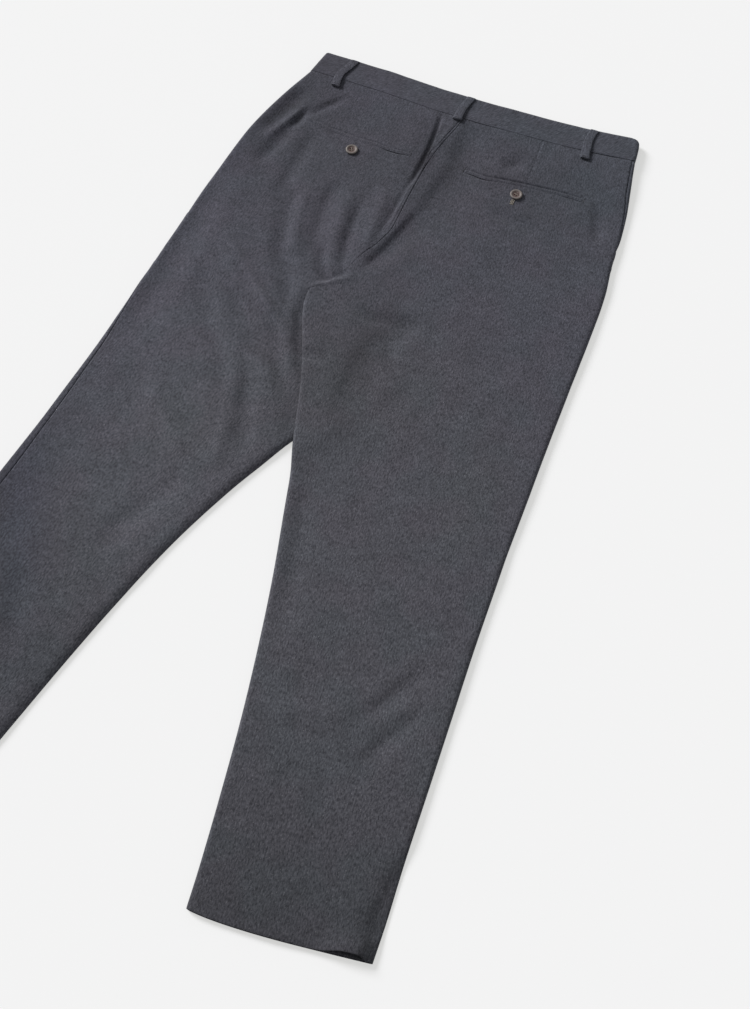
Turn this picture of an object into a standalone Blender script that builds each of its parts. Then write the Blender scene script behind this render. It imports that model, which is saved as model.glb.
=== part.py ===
"""Chinos laid flat on their front, back side up.

Metres, +Z up, +Y towards the waist, +X towards the right leg. Each leg is a flattened tube of cloth.
A cross-section of it runs from the inner edge to the outer fold, with a top layer (the back panel) and a
bottom layer (the front panel). Every panel is a wall lofted through the same cross-sections, so neighbours
meet along one line and the layers lie on each other without touching. The right leg lies over the left one
at the crotch.
"""

import math
from collections import namedtuple

import bmesh
import bpy

CM = 0.01
MM = 0.001

# Driving dimensions, in metres
CLOTH = 1.4 * MM  # wall of a leg panel
INNER_CLOTH = 1.0 * MM  # wall of the layers inside: pocket facing, fly shield, turned-up hem
BAND_CLOTH = 2.0 * MM  # wall of the stiffened waistband
LOOP_CLOTH = 1.6 * MM
GAP = 0.3 * MM  # between neighbouring pieces

BAND_HEIGHT = 3.65 * CM
BAND_BASE = 2.9 * MM  # the front belt loops and the waist button lie under the waistband
BAND_TOP = 9.5 * MM
BAND_SWELL = 4.5 * MM  # depth of the round at the waistband's side folds
LAP = 4.0 * CM  # the left front end of the waistband passes centre front by this
LAP_RAMP = (4.3 * CM, 6.8 * CM)  # the right end climbs over the left one between these two places

TOP_ROUND = 8.0 * MM  # how far the top layer curves down towards a fold
BOTTOM_ROUND = 4.0 * MM
TOP_REACH = 11.0 * MM  # the same two rounds, measured along the cloth
BOTTOM_REACH = 6.0 * MM
FOLD_SHARE = 0.42  # height of a fold's outermost line, as a share of the tube's height
INSEAM_REACH = 8.0 * MM  # the back panel turns under the inner fold by this, measured along the cloth

LIFT_HEIGHT = 6.8 * MM  # the right leg rises by this where it lies over the left one
LIFT_RAMP = 2.5 * CM

DEEPEST_FOLD = 1.8 * MM
FOLD_END = 0.2  # a fold starts this share of its length before its stated end,
FOLD_FULL = 0.3  # and reaches its full depth at this share
SEAM_BLEND = 6.0 * CM  # the cross-sections straighten over this distance below the waistband's curved seam

HEM_DEPTH = 3.4 * CM
HEM_SETBACK = 1.5 * MM
HEM_REACHES = (-5.0 * MM, -2.5 * MM, 0.0, 3.0 * MM, 7.0 * MM)  # columns round each fold, along the cloth
HEM_BOW = 4.4 * MM
HEM_BOW_REACH = 12.0 * CM
HEM_BOW_SKEW = 0.65  # below 1 the bow is deepest nearer the inner edge
SLASH_WIDTH = 4.2 * CM  # the slant pocket starts this far from the side fold, at the waistband
SLASH_END = -18.0 * CM
FACING_UNDERLAP = 1.5 * CM
FACING_SEAM = 4.0 * MM

FLY_WIDTH = 4.4 * CM
FLY_LENGTH = 16.5 * CM
CENTRE_FRONT = -0.9 * CM

LOOP_WIDTH = 1.1 * CM
LOOP_END = 0.8 * MM  # extra thickness of the loops' folded lower ends
LOOP_EDGE = 0.3 * MM  # how much thinner the loops are along their two edges
LOOP_COLUMNS = (-0.5, -0.36, 0.36, 0.5)

WELT_LENGTH = 15.0 * CM
WELT_HEIGHT = 0.9 * CM
WELT_CLOTH = 1.0 * MM
WELT_GAP = 0.55 * MM  # the strip is flatter than the panel's folds, so it needs more than the usual gap

BUTTON_DIAMETER = 15.0 * MM
BUTTON_THICKNESS = 2.8 * MM
BUTTON_STAND = 0.6 * MM
WAIST_BUTTON_DIAMETER = 17.0 * MM
WAIST_BUTTON_THICKNESS = 2.6 * MM
WAIST_BUTTON_PLACE = (1.2 * CM, -1.75 * CM)

# The tables below have their origin at the middle of the waistband's top edge. This moves it to the middle
# of the whole outline, on the surface that the garment lies on.
MIDDLE = (-2.255 * CM, -51.44 * CM)

# One row per cross-section of a leg, from the waistband seam to the hem. Centimetres.
# at: place along the garment, at the inner edge.
# inner, outer: the two edges of the cross-section.
# rise: the outer end lies nearer the waist than the inner end by this.
# turned: 0 where the back panel ends in the centre-back seam, 1 where it turns round the inner fold.
# front: centre-front seam, or the inner fold.
# side: distance of the side seam from the outer fold, on top.
# lifted: up to here the leg lies on the other one.
Section = namedtuple("Section", "at inner outer rise turned front side lifted")
NOWHERE = -99.0

RIGHT = [
    Section(-3.4, -0.30, 21.40, 1.0, 0.0, -0.90, 0.35, NOWHERE),
    Section(-4.9, -0.55, 21.70, 0.8, 0.0, -0.90, 0.35, NOWHERE),
    Section(-7.5, -1.13, 22.27, 0.6, 0.0, -0.90, 0.35, NOWHERE),
    Section(-11.0, -1.74, 22.98, 0.4, 0.0, -0.90, 0.35, NOWHERE),
    Section(-15.0, -2.00, 23.45, 0.2, 0.0, -0.90, 0.30, NOWHERE),
    Section(-18.0, -2.06, 23.60, 0.1, 0.0, -0.90, 0.20, NOWHERE),
    Section(-22.4, -2.05, 24.20, 0.0, 0.0, -1.10, 0.00, NOWHERE),
    Section(-25.5, -2.80, 24.40, 0.0, 0.0, -1.90, -0.10, NOWHERE),
    Section(-28.2, -4.00, 24.47, 0.0, 0.0, -3.10, -0.10, NOWHERE),
    Section(-30.8, -4.80, 24.53, 0.0, 0.0, -4.30, -0.10, NOWHERE),
    Section(-32.5, -5.30, 24.55, 0.0, 0.6, -5.00, -0.10, -9.0),
    Section(-34.8, -7.60, 24.58, 0.0, 1.0, -7.60, -0.10, -6.3),
    Section(-36.4, -7.30, 24.60, 0.0, 1.0, -7.30, -0.10, -1.6),
    Section(-38.5, -6.70, 24.65, 0.0, 1.0, -6.70, -0.10, 1.9),
    Section(-41.5, -5.50, 24.70, 0.0, 1.0, -5.50, -0.10, 4.2),
    Section(-44.5, -4.35, 24.77, 0.0, 1.0, -4.35, -0.10, 4.8),
    Section(-47.5, -3.30, 24.85, 0.0, 1.0, -3.30, -0.10, 4.0),
    Section(-51.0, -2.15, 24.97, 0.0, 1.0, -2.15, -0.10, 2.3),
    Section(-54.0, -1.10, 25.05, 0.0, 1.0, -1.10, -0.10, 0.4),
    Section(-58.0, 0.33, 25.15, 0.0, 1.0, 0.33, -0.10, -3.0),
    Section(-62.0, 1.45, 25.35, 0.0, 1.0, 1.45, -0.10, NOWHERE),
    Section(-70.0, 3.67, 25.75, 0.3, 1.0, 3.67, -0.10, NOWHERE),
    Section(-78.0, 5.60, 26.28, 0.6, 1.0, 5.60, -0.10, NOWHERE),
    Section(-86.0, 7.30, 26.80, 1.0, 1.0, 7.30, -0.10, NOWHERE),
    Section(-94.0, 8.73, 27.30, 1.4, 1.0, 8.73, -0.10, NOWHERE),
    Section(-100.2, 9.75, 27.80, 1.75, 1.0, 9.75, -0.10, NOWHERE),
    Section(-103.8, 10.25, 28.00, 1.9, 1.0, 10.25, -0.10, NOWHERE),
]

LEFT = [
    Section(-3.4, -0.30, -21.10, 0.1, 0.0, -0.90, 0.00, NOWHERE),
    Section(-4.9, -0.55, -21.60, 0.1, 0.0, -0.90, 0.00, NOWHERE),
    Section(-7.5, -1.13, -22.55, 0.0, 0.0, -0.90, 0.00, NOWHERE),
    Section(-11.0, -1.74, -23.60, 0.0, 0.0, -0.90, 0.00, NOWHERE),
    Section(-15.0, -2.00, -24.40, 0.0, 0.0, -0.90, 0.00, NOWHERE),
    Section(-18.0, -2.06, -24.75, 0.0, 0.0, -0.90, 0.00, NOWHERE),
    Section(-22.4, -2.05, -25.10, 0.0, 0.0, -1.10, 0.00, NOWHERE),
    Section(-25.5, -2.80, -25.35, 0.0, 0.0, -1.90, 0.05, NOWHERE),
    Section(-28.2, -4.00, -25.50, 0.0, 0.0, -3.10, 0.10, NOWHERE),
    Section(-30.8, -4.80, -25.60, 0.0, 0.0, -4.30, 0.15, NOWHERE),
    Section(-32.5, -5.30, -25.70, 0.0, 0.0, -5.00, 0.20, NOWHERE),
    Section(-34.8, -7.60, -25.85, 0.0, 0.0, -7.80, 0.25, NOWHERE),
    Section(-36.4, -3.00, -25.90, 0.0, 1.0, -3.00, 0.30, NOWHERE),
    Section(-38.5, 0.30, -26.00, 0.0, 1.0, 0.30, 0.35, NOWHERE),
    Section(-41.5, 2.60, -26.20, 0.0, 1.0, 2.60, 0.45, NOWHERE),
    Section(-44.5, 3.20, -26.30, 0.0, 1.0, 3.20, 0.55, NOWHERE),
    Section(-47.5, 2.40, -26.45, 0.0, 1.0, 2.40, 0.65, NOWHERE),
    Section(-51.0, 0.75, -26.65, 0.0, 1.0, 0.75, 0.75, NOWHERE),
    Section(-54.0, -1.10, -26.90, 0.0, 1.0, -1.10, 0.80, NOWHERE),
    Section(-58.0, -2.90, -27.30, 0.0, 1.0, -2.90, 0.85, NOWHERE),
    Section(-62.0, -4.65, -27.65, 0.1, 1.0, -4.65, 0.90, NOWHERE),
    Section(-70.0, -7.52, -28.55, 0.5, 1.0, -7.52, 0.90, NOWHERE),
    Section(-78.0, -9.70, -29.50, 0.9, 1.0, -9.70, 0.90, NOWHERE),
    Section(-86.0, -11.55, -30.40, 1.4, 1.0, -11.55, 0.90, NOWHERE),
    Section(-94.0, -13.22, -31.35, 1.9, 1.0, -13.22, 0.90, NOWHERE),
    Section(-100.4, -14.50, -32.10, 2.4, 1.0, -14.50, 0.90, NOWHERE),
    Section(-104.0, -15.20, -32.50, 2.65, 1.0, -15.20, 0.90, NOWHERE),
]

# Height of the two layers' outer faces above the surface, in millimetres, by place along the garment.
Layers = namedtuple("Layers", "at bottom top")
LAYERS = [
    Layers(-3.4, 2.9, 9.2),
    Layers(-4.9, 2.9, 8.9),
    Layers(-7.5, 1.5, 7.8),
    Layers(-11.0, 0.0, 6.7),
    Layers(-18.0, 0.0, 6.5),
    Layers(-34.8, 0.0, 6.3),
    Layers(-54.0, 0.0, 6.0),
    Layers(-104.0, 0.0, 5.7),
]

# The largest folds of the back panels: soft troughs from a start to an end, in centimetres, with their
# half width in centimetres and their depth in millimetres.
Fold = namedtuple("Fold", "x0 y0 x1 y1 width depth")
FOLDS = [
    Fold(-2.85, -5.0, -2.6, -17.0, 0.7, 1.7),  # tuck beside the centre-back seam
    Fold(-15.8, -21.0, -11.5, -36.0, 1.8, 1.4),  # left seat, three troughs that run to the crotch
    Fold(-10.4, -22.0, -8.0, -32.0, 1.4, 1.4),
    Fold(-6.8, -21.0, -6.0, -30.0, 1.2, 1.2),
    Fold(-20.5, -10.5, -22.5, -19.0, 1.5, 1.3),  # left hip
    Fold(-17.5, -38.0, -8.5, -53.0, 2.2, 1.3),  # left thigh
    Fold(0.6, -7.0, 0.4, -19.0, 1.5, 1.0),  # right of the centre-back seam
    Fold(6.0, -34.0, 1.5, -48.0, 2.4, 1.2),  # right thigh
    Fold(15.0, -70.0, 10.0, -80.0, 2.4, 0.9),  # right shin
]

# Distances of the front panels' columns from their inner end, in centimetres.
RIGHT_FRONT_COLUMNS = (16.5, 13.0, 11.5, 10.0, 8.5, 7.0, 5.5, 4.0, 2.5, 1.2, 0.0)
LEFT_FRONT_COLUMNS = (14.0, 9.0, 4.0, 0.0)

# The waistband's top edge, in centimetres, from right to left. It dips a little at centre back.
# at: place across the garment. y: place along it.
Waist = namedtuple("Waist", "at y")
WAIST = [
    Waist(22.5, 1.49),
    Waist(20.5, 1.22),
    Waist(17.0, 0.76),
    Waist(13.5, 0.40),
    Waist(9.5, 0.16),
    Waist(5.5, 0.04),
    Waist(2.0, -0.12),
    Waist(-4.0, -0.13),
    Waist(-8.5, 0.05),
    Waist(-12.5, 0.20),
    Waist(-20.5, 0.21),
]

# Side ends of the waistband, in centimetres, by share of its height from the seam to the top edge.
BandEnd = namedtuple("BandEnd", "share left right")
BAND_ENDS = [
    BandEnd(0.0, -21.1, 21.4),
    BandEnd(0.4, -20.85, 21.25),
    BandEnd(0.8, -20.6, 21.0),
    BandEnd(0.94, -20.5, 20.7),
    BandEnd(1.0, -20.45, 20.2),
]

# A belt loop's inner face: share of its length, and height above the waistband in millimetres.
Bow = namedtuple("Bow", "share out")
LOOP_BOW = [
    Bow(0.04, 0.2),
    Bow(0.17, 0.8),
    Bow(0.42, 1.5),
    Bow(0.66, 1.5),
    Bow(0.83, 0.9),
    Bow(1.0, 0.0),
]
# The place across of a loop's two ends, and how far it reaches below the waist line, in centimetres.
Loop = namedtuple("Loop", "upper lower length")
BACK_LOOPS = {
    "loop_back_left": Loop(-16.5, -16.95, 5.0),
    "loop_back_centre": Loop(-0.6, -0.95, 4.3),
    "loop_back_right": Loop(15.2, 15.65, 4.95),
}
FRONT_LOOPS = {
    "loop_front_left": Loop(-9.5, -9.5, 4.7),
    "loop_front_right": Loop(10.5, 10.5, 4.7),
}
FRONT_BOW = 0.6  # the front loops lie flatter, pressed by the weight above

# A pocket mouth: its inner and outer end, and the place of its button, in centimetres.
Pocket = namedtuple("Pocket", "inner_x inner_y outer_x outer_y button_x button_y")
POCKETS = {
    "left": Pocket(-4.3, -11.6, -19.2, -10.4, -11.3, -13.4),
    "right": Pocket(2.6, -11.5, 17.5, -10.4, 9.8, -12.5),
}

# Principled BSDF values: colour, roughness.
HEATHER = ((0.075, 0.077, 0.092), 0.92)
HORN = ((0.16, 0.10, 0.065), 0.35)


def ramp(value, start, end):
    """0 before start, 1 after end, with a smooth climb between them."""
    share = min(max((value - start) / (end - start), 0.0), 1.0)
    return share * share * (3.0 - 2.0 * share)


def mix(a, b, share):
    return a + (b - a) * share


def read(table, column, at):
    """The value of a column, straight between the two rows around a place. Places fall from row to row."""
    lower = next((row for row in table[1:] if at >= row.at), table[-1])
    upper = table[table.index(lower) - 1]
    share = (at - upper.at) / (lower.at - upper.at)
    return mix(getattr(upper, column), getattr(lower, column), min(max(share, 0.0), 1.0))


def waist_line(x):
    """Y of the waistband's top edge at x."""
    return read(WAIST, "y", x / CM) * CM


def fold_depth(x, y):
    """How far the folds sink the top layer at a place."""
    total = 0.0
    for fold in FOLDS:
        start_x, start_y = fold.x0 * CM, fold.y0 * CM
        run_x, run_y = fold.x1 * CM - start_x, fold.y1 * CM - start_y
        length = math.hypot(run_x, run_y)
        along = ((x - start_x) * run_x + (y - start_y) * run_y) / length
        across = ((x - start_x) * run_y - (y - start_y) * run_x) / length
        fade = ramp(along, -FOLD_END * length, FOLD_FULL * length)
        fade *= ramp(length - along, -FOLD_END * length, FOLD_FULL * length)
        total += fold.depth * MM * fade * math.exp(-((across / (fold.width * CM)) ** 2))
    return min(total, DEEPEST_FOLD)


class Leg:
    """One leg and its half of the seat, as a flattened tube. Side is 1 for the right leg, -1 for the left."""

    def __init__(self, table, side):
        self.table = table
        self.side = side

    def column(self, name, at):
        return read(self.table, name, at) * CM

    def y_of(self, at, x):
        """Y of a point of the cross-section. The first cross-sections follow the waistband's seam."""
        inner = self.column("inner", at)
        outer = self.column("outer", at)
        share = (x - inner) / (outer - inner)
        y = at * CM + self.column("rise", at) * share - self.hem_bow(at, share)
        seam = waist_line(x) - BAND_HEIGHT - GAP
        first = self.table[0].at
        straight = first * CM + self.table[0].rise * CM * share
        return y + (seam - straight) * (1.0 - ramp((first - at) * CM, 0.0, SEAM_BLEND))

    def hem_bow(self, at, share):
        """How far the end of the leg bows outwards between its two edges, most of it nearer the inner one."""
        fade = 1.0 - ramp(at - self.table[-1].at, 0.0, HEM_BOW_REACH / CM)
        return HEM_BOW * fade * math.sin(math.pi * min(max(share, 0.0), 1.0) ** HEM_BOW_SKEW)

    def lift(self, at, x):
        edge = self.column("lifted", at)
        return LIFT_HEIGHT * (1.0 - ramp(x, edge, edge + LIFT_RAMP))

    def bottom(self, at, x):
        return read(LAYERS, "bottom", at) * MM + self.lift(at, x)

    def top(self, at, x):
        sunk = fold_depth(x, self.y_of(at, x))
        return read(LAYERS, "top", at) * MM + self.lift(at, x) - sunk

    def at_edge(self, at, edge, reach, inset):
        """A point near an edge. Reach is measured along the cloth from the fold, above it when positive."""
        share = min(abs(reach) / (TOP_REACH if reach >= 0 else BOTTOM_REACH), 1.0)
        angle = share * math.pi / 2
        radius = (TOP_ROUND if reach >= 0 else BOTTOM_ROUND) - inset
        beyond = max(abs(reach) - (TOP_REACH if reach >= 0 else BOTTOM_REACH), 0.0)
        inward = inset + radius * (1.0 - math.cos(angle)) + beyond
        turned = self.column("turned", at) / CM if edge == "inner" else 1.0
        flat_inward = max(reach, 0.0) * (TOP_ROUND / TOP_REACH)
        inward = mix(flat_inward, inward, turned)
        x = self.column(edge, at) + self.side * inward * (1 if edge == "inner" else -1)
        if edge == "inner":
            x += self.side * GAP / 2
        low = self.bottom(at, x) + inset
        high = self.top(at, x) - inset
        middle = mix(low, high, FOLD_SHARE)
        z = mix(middle, high, math.sin(angle)) if reach >= 0 else mix(middle, low, math.sin(angle))
        return x, self.y_of(at, x), mix(high, z, turned)

    def across_top(self, at, share, inset):
        outer = self.column("outer", at) - self.side * TOP_ROUND
        inner = self.column("inner", at) + self.side * (TOP_ROUND + GAP / 2)
        x = mix(outer, inner, share)
        return x, self.y_of(at, x), self.top(at, x) - inset

    def across_bottom(self, at, share, inset):
        outer = self.column("outer", at) - self.side * BOTTOM_ROUND
        x = mix(outer, self.front_end(at), share)
        return x, self.y_of(at, x), self.bottom(at, x) + inset

    def front_end(self, at):
        """X of the front panel's inner end: the centre-front seam, or the inseam under the inner fold."""
        turn = BOTTOM_ROUND + INSEAM_REACH - BOTTOM_REACH + GAP
        turned = self.column("turned", at) / CM
        return self.column("front", at) + self.side * mix(GAP / 2, turn, turned)


def shift(point):
    x, y, z = point
    return x - MIDDLE[0], y - MIDDLE[1], z


def new_material(name, look):
    colour, roughness = look
    material = bpy.data.materials.new(name)
    material.use_nodes = True
    shader = material.node_tree.nodes["Principled BSDF"]
    shader.inputs["Base Color"].default_value = (*colour, 1.0)
    shader.inputs["Roughness"].default_value = roughness
    shader.inputs["Metallic"].default_value = 0.0
    return material


def add_object(name, bm, look):
    """Closes a bmesh into an object of the chinos collection, moved to the garment's own origin."""
    bmesh.ops.recalc_face_normals(bm, faces=bm.faces)
    if bm.calc_volume(signed=True) < 0.0:
        bmesh.ops.reverse_faces(bm, faces=bm.faces)
    mesh = bpy.data.meshes.new(name)
    bm.to_mesh(mesh)
    bm.free()
    mesh.materials.append(new_material(name, look))
    made = bpy.data.objects.new(name, mesh)
    bpy.data.collections["chinos"].objects.link(made)
    return made


def wall(name, rows, columns, surface, thickness, look=HEATHER):
    """A closed cloth wall. surface(row, column, inset) gives a point, with inset 0 on the outer face."""
    bm = bmesh.new()
    bmesh.ops.create_grid(bm, x_segments=len(columns) - 1, y_segments=len(rows) - 1, size=0.5)
    made = bmesh.ops.extrude_face_region(bm, geom=bm.faces[:], use_keep_orig=True)
    inner = [item for item in made["geom"] if isinstance(item, bmesh.types.BMVert)]
    bmesh.ops.translate(bm, verts=inner, vec=(0.0, 0.0, 1.0))
    for vertex in bm.verts:
        column = round((vertex.co.x + 0.5) * (len(columns) - 1))
        row = round((0.5 - vertex.co.y) * (len(rows) - 1))
        vertex.co = shift(surface(rows[row], columns[column], vertex.co.z * thickness))
    return add_object(name, bm, look)


def spread(start, end, count):
    return [mix(start, end, i / (count - 1)) for i in range(count)]


def back_panel(name, leg):
    """Top layer: from the side seam over the top to the centre-back seam or round the inner fold."""
    columns = [("outer", share) for share in spread(0.0, 1.0, 4)]
    columns += [("top", share) for share in spread(0.0, 1.0, 13)[1:-1]]
    columns += [("inner", share) for share in spread(0.0, 1.0, 6)]

    def surface(at, column, inset):
        zone, share = column
        if zone == "outer":
            seam = leg.column("side", at) + GAP / 2
            return leg.at_edge(at, "outer", mix(seam, TOP_REACH, share), inset)
        if zone == "top":
            return leg.across_top(at, share, inset)
        end = -INSEAM_REACH * leg.column("turned", at) / CM
        return leg.at_edge(at, "inner", mix(TOP_REACH, end, share), inset)

    return wall(name, [row.at for row in leg.table], columns, surface, CLOTH)


def front_panel(name, leg):
    """Bottom layer: from the side seam round the outer fold to the centre-front seam or the inseam.
    The slant pocket takes away its corner beside the waistband. Its flat columns are given by their distance
    from the inner end, and are close together where the right leg climbs over the left one."""
    distances = RIGHT_FRONT_COLUMNS if leg.side > 0 else LEFT_FRONT_COLUMNS
    columns = [("outer", share) for share in spread(0.0, 1.0, 6)]
    columns += [("bottom", distance * CM) for distance in distances]

    def surface(at, column, inset):
        zone, share = column
        mouth = slash_reach(leg, at)
        if zone == "outer":
            if mouth < -BOTTOM_REACH:
                start = (-mouth - BOTTOM_REACH) / wide(leg, at)
                return leg.across_bottom(at, mix(start, start + 0.01, share), inset)
            return leg.at_edge(at, "outer", mix(mouth, -BOTTOM_REACH, share), inset)
        return leg.across_bottom(at, 1.0 - share / wide(leg, at), inset)

    return wall(name, [row.at for row in leg.table], columns, surface, CLOTH)


def wide(leg, at):
    """Width of the flat part of a cross-section's bottom layer."""
    return abs(leg.column("outer", at) - leg.front_end(at)) - BOTTOM_ROUND


def slash_reach(leg, at):
    """Where the front panel ends, measured along the cloth from the outer fold.

    It is the slant pocket's mouth beside the waistband, and the side seam below it.
    """
    seam = leg.column("side", at) - GAP / 2
    if at * CM <= SLASH_END:
        return seam
    first = leg.table[0].at * CM
    return mix(-SLASH_WIDTH, seam, (at * CM - first) / (SLASH_END - first))


def pocket_facing(name, leg):
    """The piece seen in the slant pocket's mouth. It lies inside the front panel's edge and reaches the side seam."""
    rows = [row.at for row in leg.table if row.at * CM >= SLASH_END + 1.0 * MM]
    columns = spread(0.0, 1.0, 10)
    base = CLOTH + GAP

    def surface(at, share, inset):
        start = slash_reach(leg, at) - FACING_UNDERLAP
        end = leg.column("side", at) + FACING_SEAM
        reach = mix(start, end, share)
        return leg.at_edge(at, "outer", reach, inset + base)

    return wall(name, rows, columns, surface, INNER_CLOTH)


def hem(name, leg):
    """The turned-up end of a leg, a flat ring inside the tube, open at the inseam."""
    last = leg.table[-1].at
    rows = [last + HEM_DEPTH / CM, last + HEM_DEPTH / CM / 2, last + HEM_SETBACK / CM]
    columns = [("inner", reach) for reach in (-INSEAM_REACH, *HEM_REACHES, TOP_REACH)]
    columns += [("top", 1.0 - share) for share in spread(0.0, 1.0, 8)[1:-1]]
    columns += [("outer", reach) for reach in (TOP_REACH, *reversed(HEM_REACHES))]
    columns += [("bottom", share) for share in (0.0, 0.5, 1.0)]
    base = CLOTH + GAP

    def surface(at, column, inset):
        zone, value = column
        if zone in ("inner", "outer"):
            return leg.at_edge(at, zone, value, inset + base)
        if zone == "top":
            return leg.across_top(at, value, inset + base)
        return leg.across_bottom(at, value, inset + base)

    return wall(name, rows, columns, surface, INNER_CLOTH)


def band_reach(place, low, high, inset):
    """Point of the waistband's side fold. Place runs from -1 at the bottom layer to 1 at the top layer."""
    angle = place * math.pi / 2
    depth = inset + (BAND_SWELL - inset) * (1.0 - math.cos(angle))
    middle = (low + high) / 2
    half = (high - low) / 2 - inset
    return depth, middle + half * math.sin(angle)


def waistband(name, side):
    """Half of the waistband: from centre back over the top, round the side fold and back to centre front."""
    columns = [("top", share) for share in spread(0.0, 1.0, 8)[:-1]]
    columns += [("fold", place) for place in spread(1.0, -1.0, 7)]
    columns += [("bottom", share) for share in spread(0.0, 1.0, 9)[1:]]
    ends = {row.share: (row.left if side < 0 else row.right) * CM for row in BAND_ENDS}
    centre_back = RIGHT[0].inner * CM + side * GAP / 2
    last = CENTRE_FRONT + (LAP if side < 0 else 0.0)

    def base_at(x):
        if side < 0:
            return BAND_BASE
        return BAND_BASE + (BAND_CLOTH + GAP) * (1.0 - ramp(x, *LAP_RAMP))

    def surface(share, column, inset):
        zone, place = column
        end = ends[share]
        if zone == "fold":
            depth, z = band_reach(place, BAND_BASE, BAND_TOP, inset)
            x = end - side * depth
        elif zone == "top":
            x = mix(centre_back, end - side * BAND_SWELL, place)
            z = BAND_TOP - inset
        else:
            x = mix(end - side * BAND_SWELL, last, place)
            z = base_at(x) + inset
        return x, waist_line(x) - BAND_HEIGHT * (1.0 - share), z

    return wall(name, sorted(ends, reverse=True), columns, surface, BAND_CLOTH)


def place_on_loop(loop, share, across):
    """X and Y of a point of a belt loop. Across runs over its width, from -0.5 to 0.5."""
    x_middle = mix(loop.upper, loop.lower, share) * CM
    return x_middle + across * LOOP_WIDTH, waist_line(x_middle) - share * loop.length * CM


def back_loop(name, loop):
    """A belt loop across the back of the waistband, bowed outwards, with a thicker folded lower end."""
    fold = LOOP_BOW[-2].share

    def surface(row, across, inset):
        thickness = LOOP_CLOTH + (LOOP_END if row.share > fold else 0.0)
        thickness -= LOOP_EDGE if abs(across) == LOOP_COLUMNS[-1] else 0.0
        z = BAND_TOP + row.out * MM + thickness * (1.0 - inset / LOOP_CLOTH)
        return *place_on_loop(loop, row.share, across), z

    return wall(name, LOOP_BOW, LOOP_COLUMNS, surface, LOOP_CLOTH)


def front_loop(name, loop):
    """A belt loop across the front of the waistband, pressed flat against the surface below."""
    highest = max(bow.out for bow in LOOP_BOW)

    def surface(row, across, inset):
        z = (highest - row.out) * FRONT_BOW * MM + inset
        return *place_on_loop(loop, row.share, across), z

    return wall(name, LOOP_BOW, LOOP_COLUMNS, surface, LOOP_CLOTH)


def fly_shield(name, leg):
    """The strip inside the centre-front opening, behind both front panels."""
    first = leg.table[0].at
    rows = [row.at for row in leg.table if row.at > first - FLY_LENGTH / CM]
    right_edge = CENTRE_FRONT + 0.6 * CM

    def surface(at, share, inset):
        x = right_edge - FLY_WIDTH * share
        return x, leg.y_of(at, x) - GAP, leg.bottom(at, x) + CLOTH + GAP + inset

    return wall(name, rows, (0.0, 0.5, 1.0), surface, INNER_CLOTH)


def place_on_back(leg, x, y):
    """The outer face of the back panel at a place."""
    at = y / CM
    for _ in range(4):
        at += (y - leg.y_of(at, x)) / CM
    return leg.top(at, x)


def welt(name, leg, pocket):
    """The jetted mouth of a back pocket: a narrow strip that follows the panel under it."""
    start = (pocket.inner_x * CM, pocket.inner_y * CM)
    end = (pocket.outer_x * CM, pocket.outer_y * CM)
    length = math.hypot(end[0] - start[0], end[1] - start[1])
    stretch = WELT_LENGTH / length
    normal = ((start[1] - end[1]) / length, (end[0] - start[0]) / length)

    def surface(along, across, inset):
        x = mix(start[0], end[0], along * stretch) + normal[0] * across * WELT_HEIGHT
        y = mix(start[1], end[1], along * stretch) + normal[1] * across * WELT_HEIGHT
        return x, y, place_on_back(leg, x, y) + WELT_GAP + WELT_CLOTH - inset

    return wall(name, spread(0.0, 1.0, 14), (-0.5, 0.0, 0.5), surface, WELT_CLOTH)


def button(name, place, bottom, diameter, thickness, face_up):
    """A turned button with a raised rim, from a profile and a Screw modifier."""
    radius = diameter / 2
    dish = 0.25 * thickness
    profile = [
        (0.0, thickness - dish),
        (0.55 * radius, thickness - dish),
        (0.72 * radius, thickness),
        (0.9 * radius, thickness),
        (radius, 0.6 * thickness),
        (0.86 * radius, 0.12 * thickness),
        (0.6 * radius, 0.0),
        (0.0, 0.0),
    ]
    mesh = bpy.data.meshes.new(name)
    mesh.from_pydata([(x, 0.0, z) for x, z in profile], [(i, i + 1) for i in range(len(profile) - 1)], [])
    mesh.materials.append(new_material(name, HORN))
    made = bpy.data.objects.new(name, mesh)
    bpy.data.collections["chinos"].objects.link(made)
    screw = made.modifiers.new("turn", "SCREW")
    screw.steps = 16
    screw.render_steps = 16
    screw.use_merge_vertices = True
    screw.merge_threshold = 0.00001
    screw.use_normal_calculate = True
    height = bottom if face_up else bottom + thickness
    made.location = shift((place[0], place[1], height))
    if not face_up:
        made.rotation_euler = (math.pi, 0.0, 0.0)
    return made


def clear_scene():
    for item in list(bpy.data.objects):
        bpy.data.objects.remove(item)


def build():
    clear_scene()
    chinos = bpy.data.collections.new("chinos")
    bpy.context.scene.collection.children.link(chinos)
    legs = {"left": Leg(LEFT, -1), "right": Leg(RIGHT, 1)}
    for side, leg in legs.items():
        front_panel(f"front_{side}", leg)
        back_panel(f"back_{side}", leg)
        waistband(f"waistband_{side}", leg.side)
        pocket_facing(f"pocket_facing_{side}", leg)
        hem(f"hem_{side}", leg)
        pocket = POCKETS[side]
        welt(f"welt_{side}", leg, pocket)
        spot = (pocket.button_x * CM, pocket.button_y * CM)
        bottom = place_on_back(leg, *spot) + BUTTON_STAND
        button(f"button_pocket_{side}", spot, bottom, BUTTON_DIAMETER, BUTTON_THICKNESS, True)
    for name, loop in BACK_LOOPS.items():
        back_loop(name, loop)
    for name, loop in FRONT_LOOPS.items():
        front_loop(name, loop)
    fly_shield("fly_shield", legs["right"])
    button("button_waist", WAIST_BUTTON_PLACE, 0.0, WAIST_BUTTON_DIAMETER, WAIST_BUTTON_THICKNESS, False)


build()
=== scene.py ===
"""Chinos laid flat on their front, in a heathered charcoal twill, on a pale surface."""

import math
from collections import namedtuple

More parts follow.
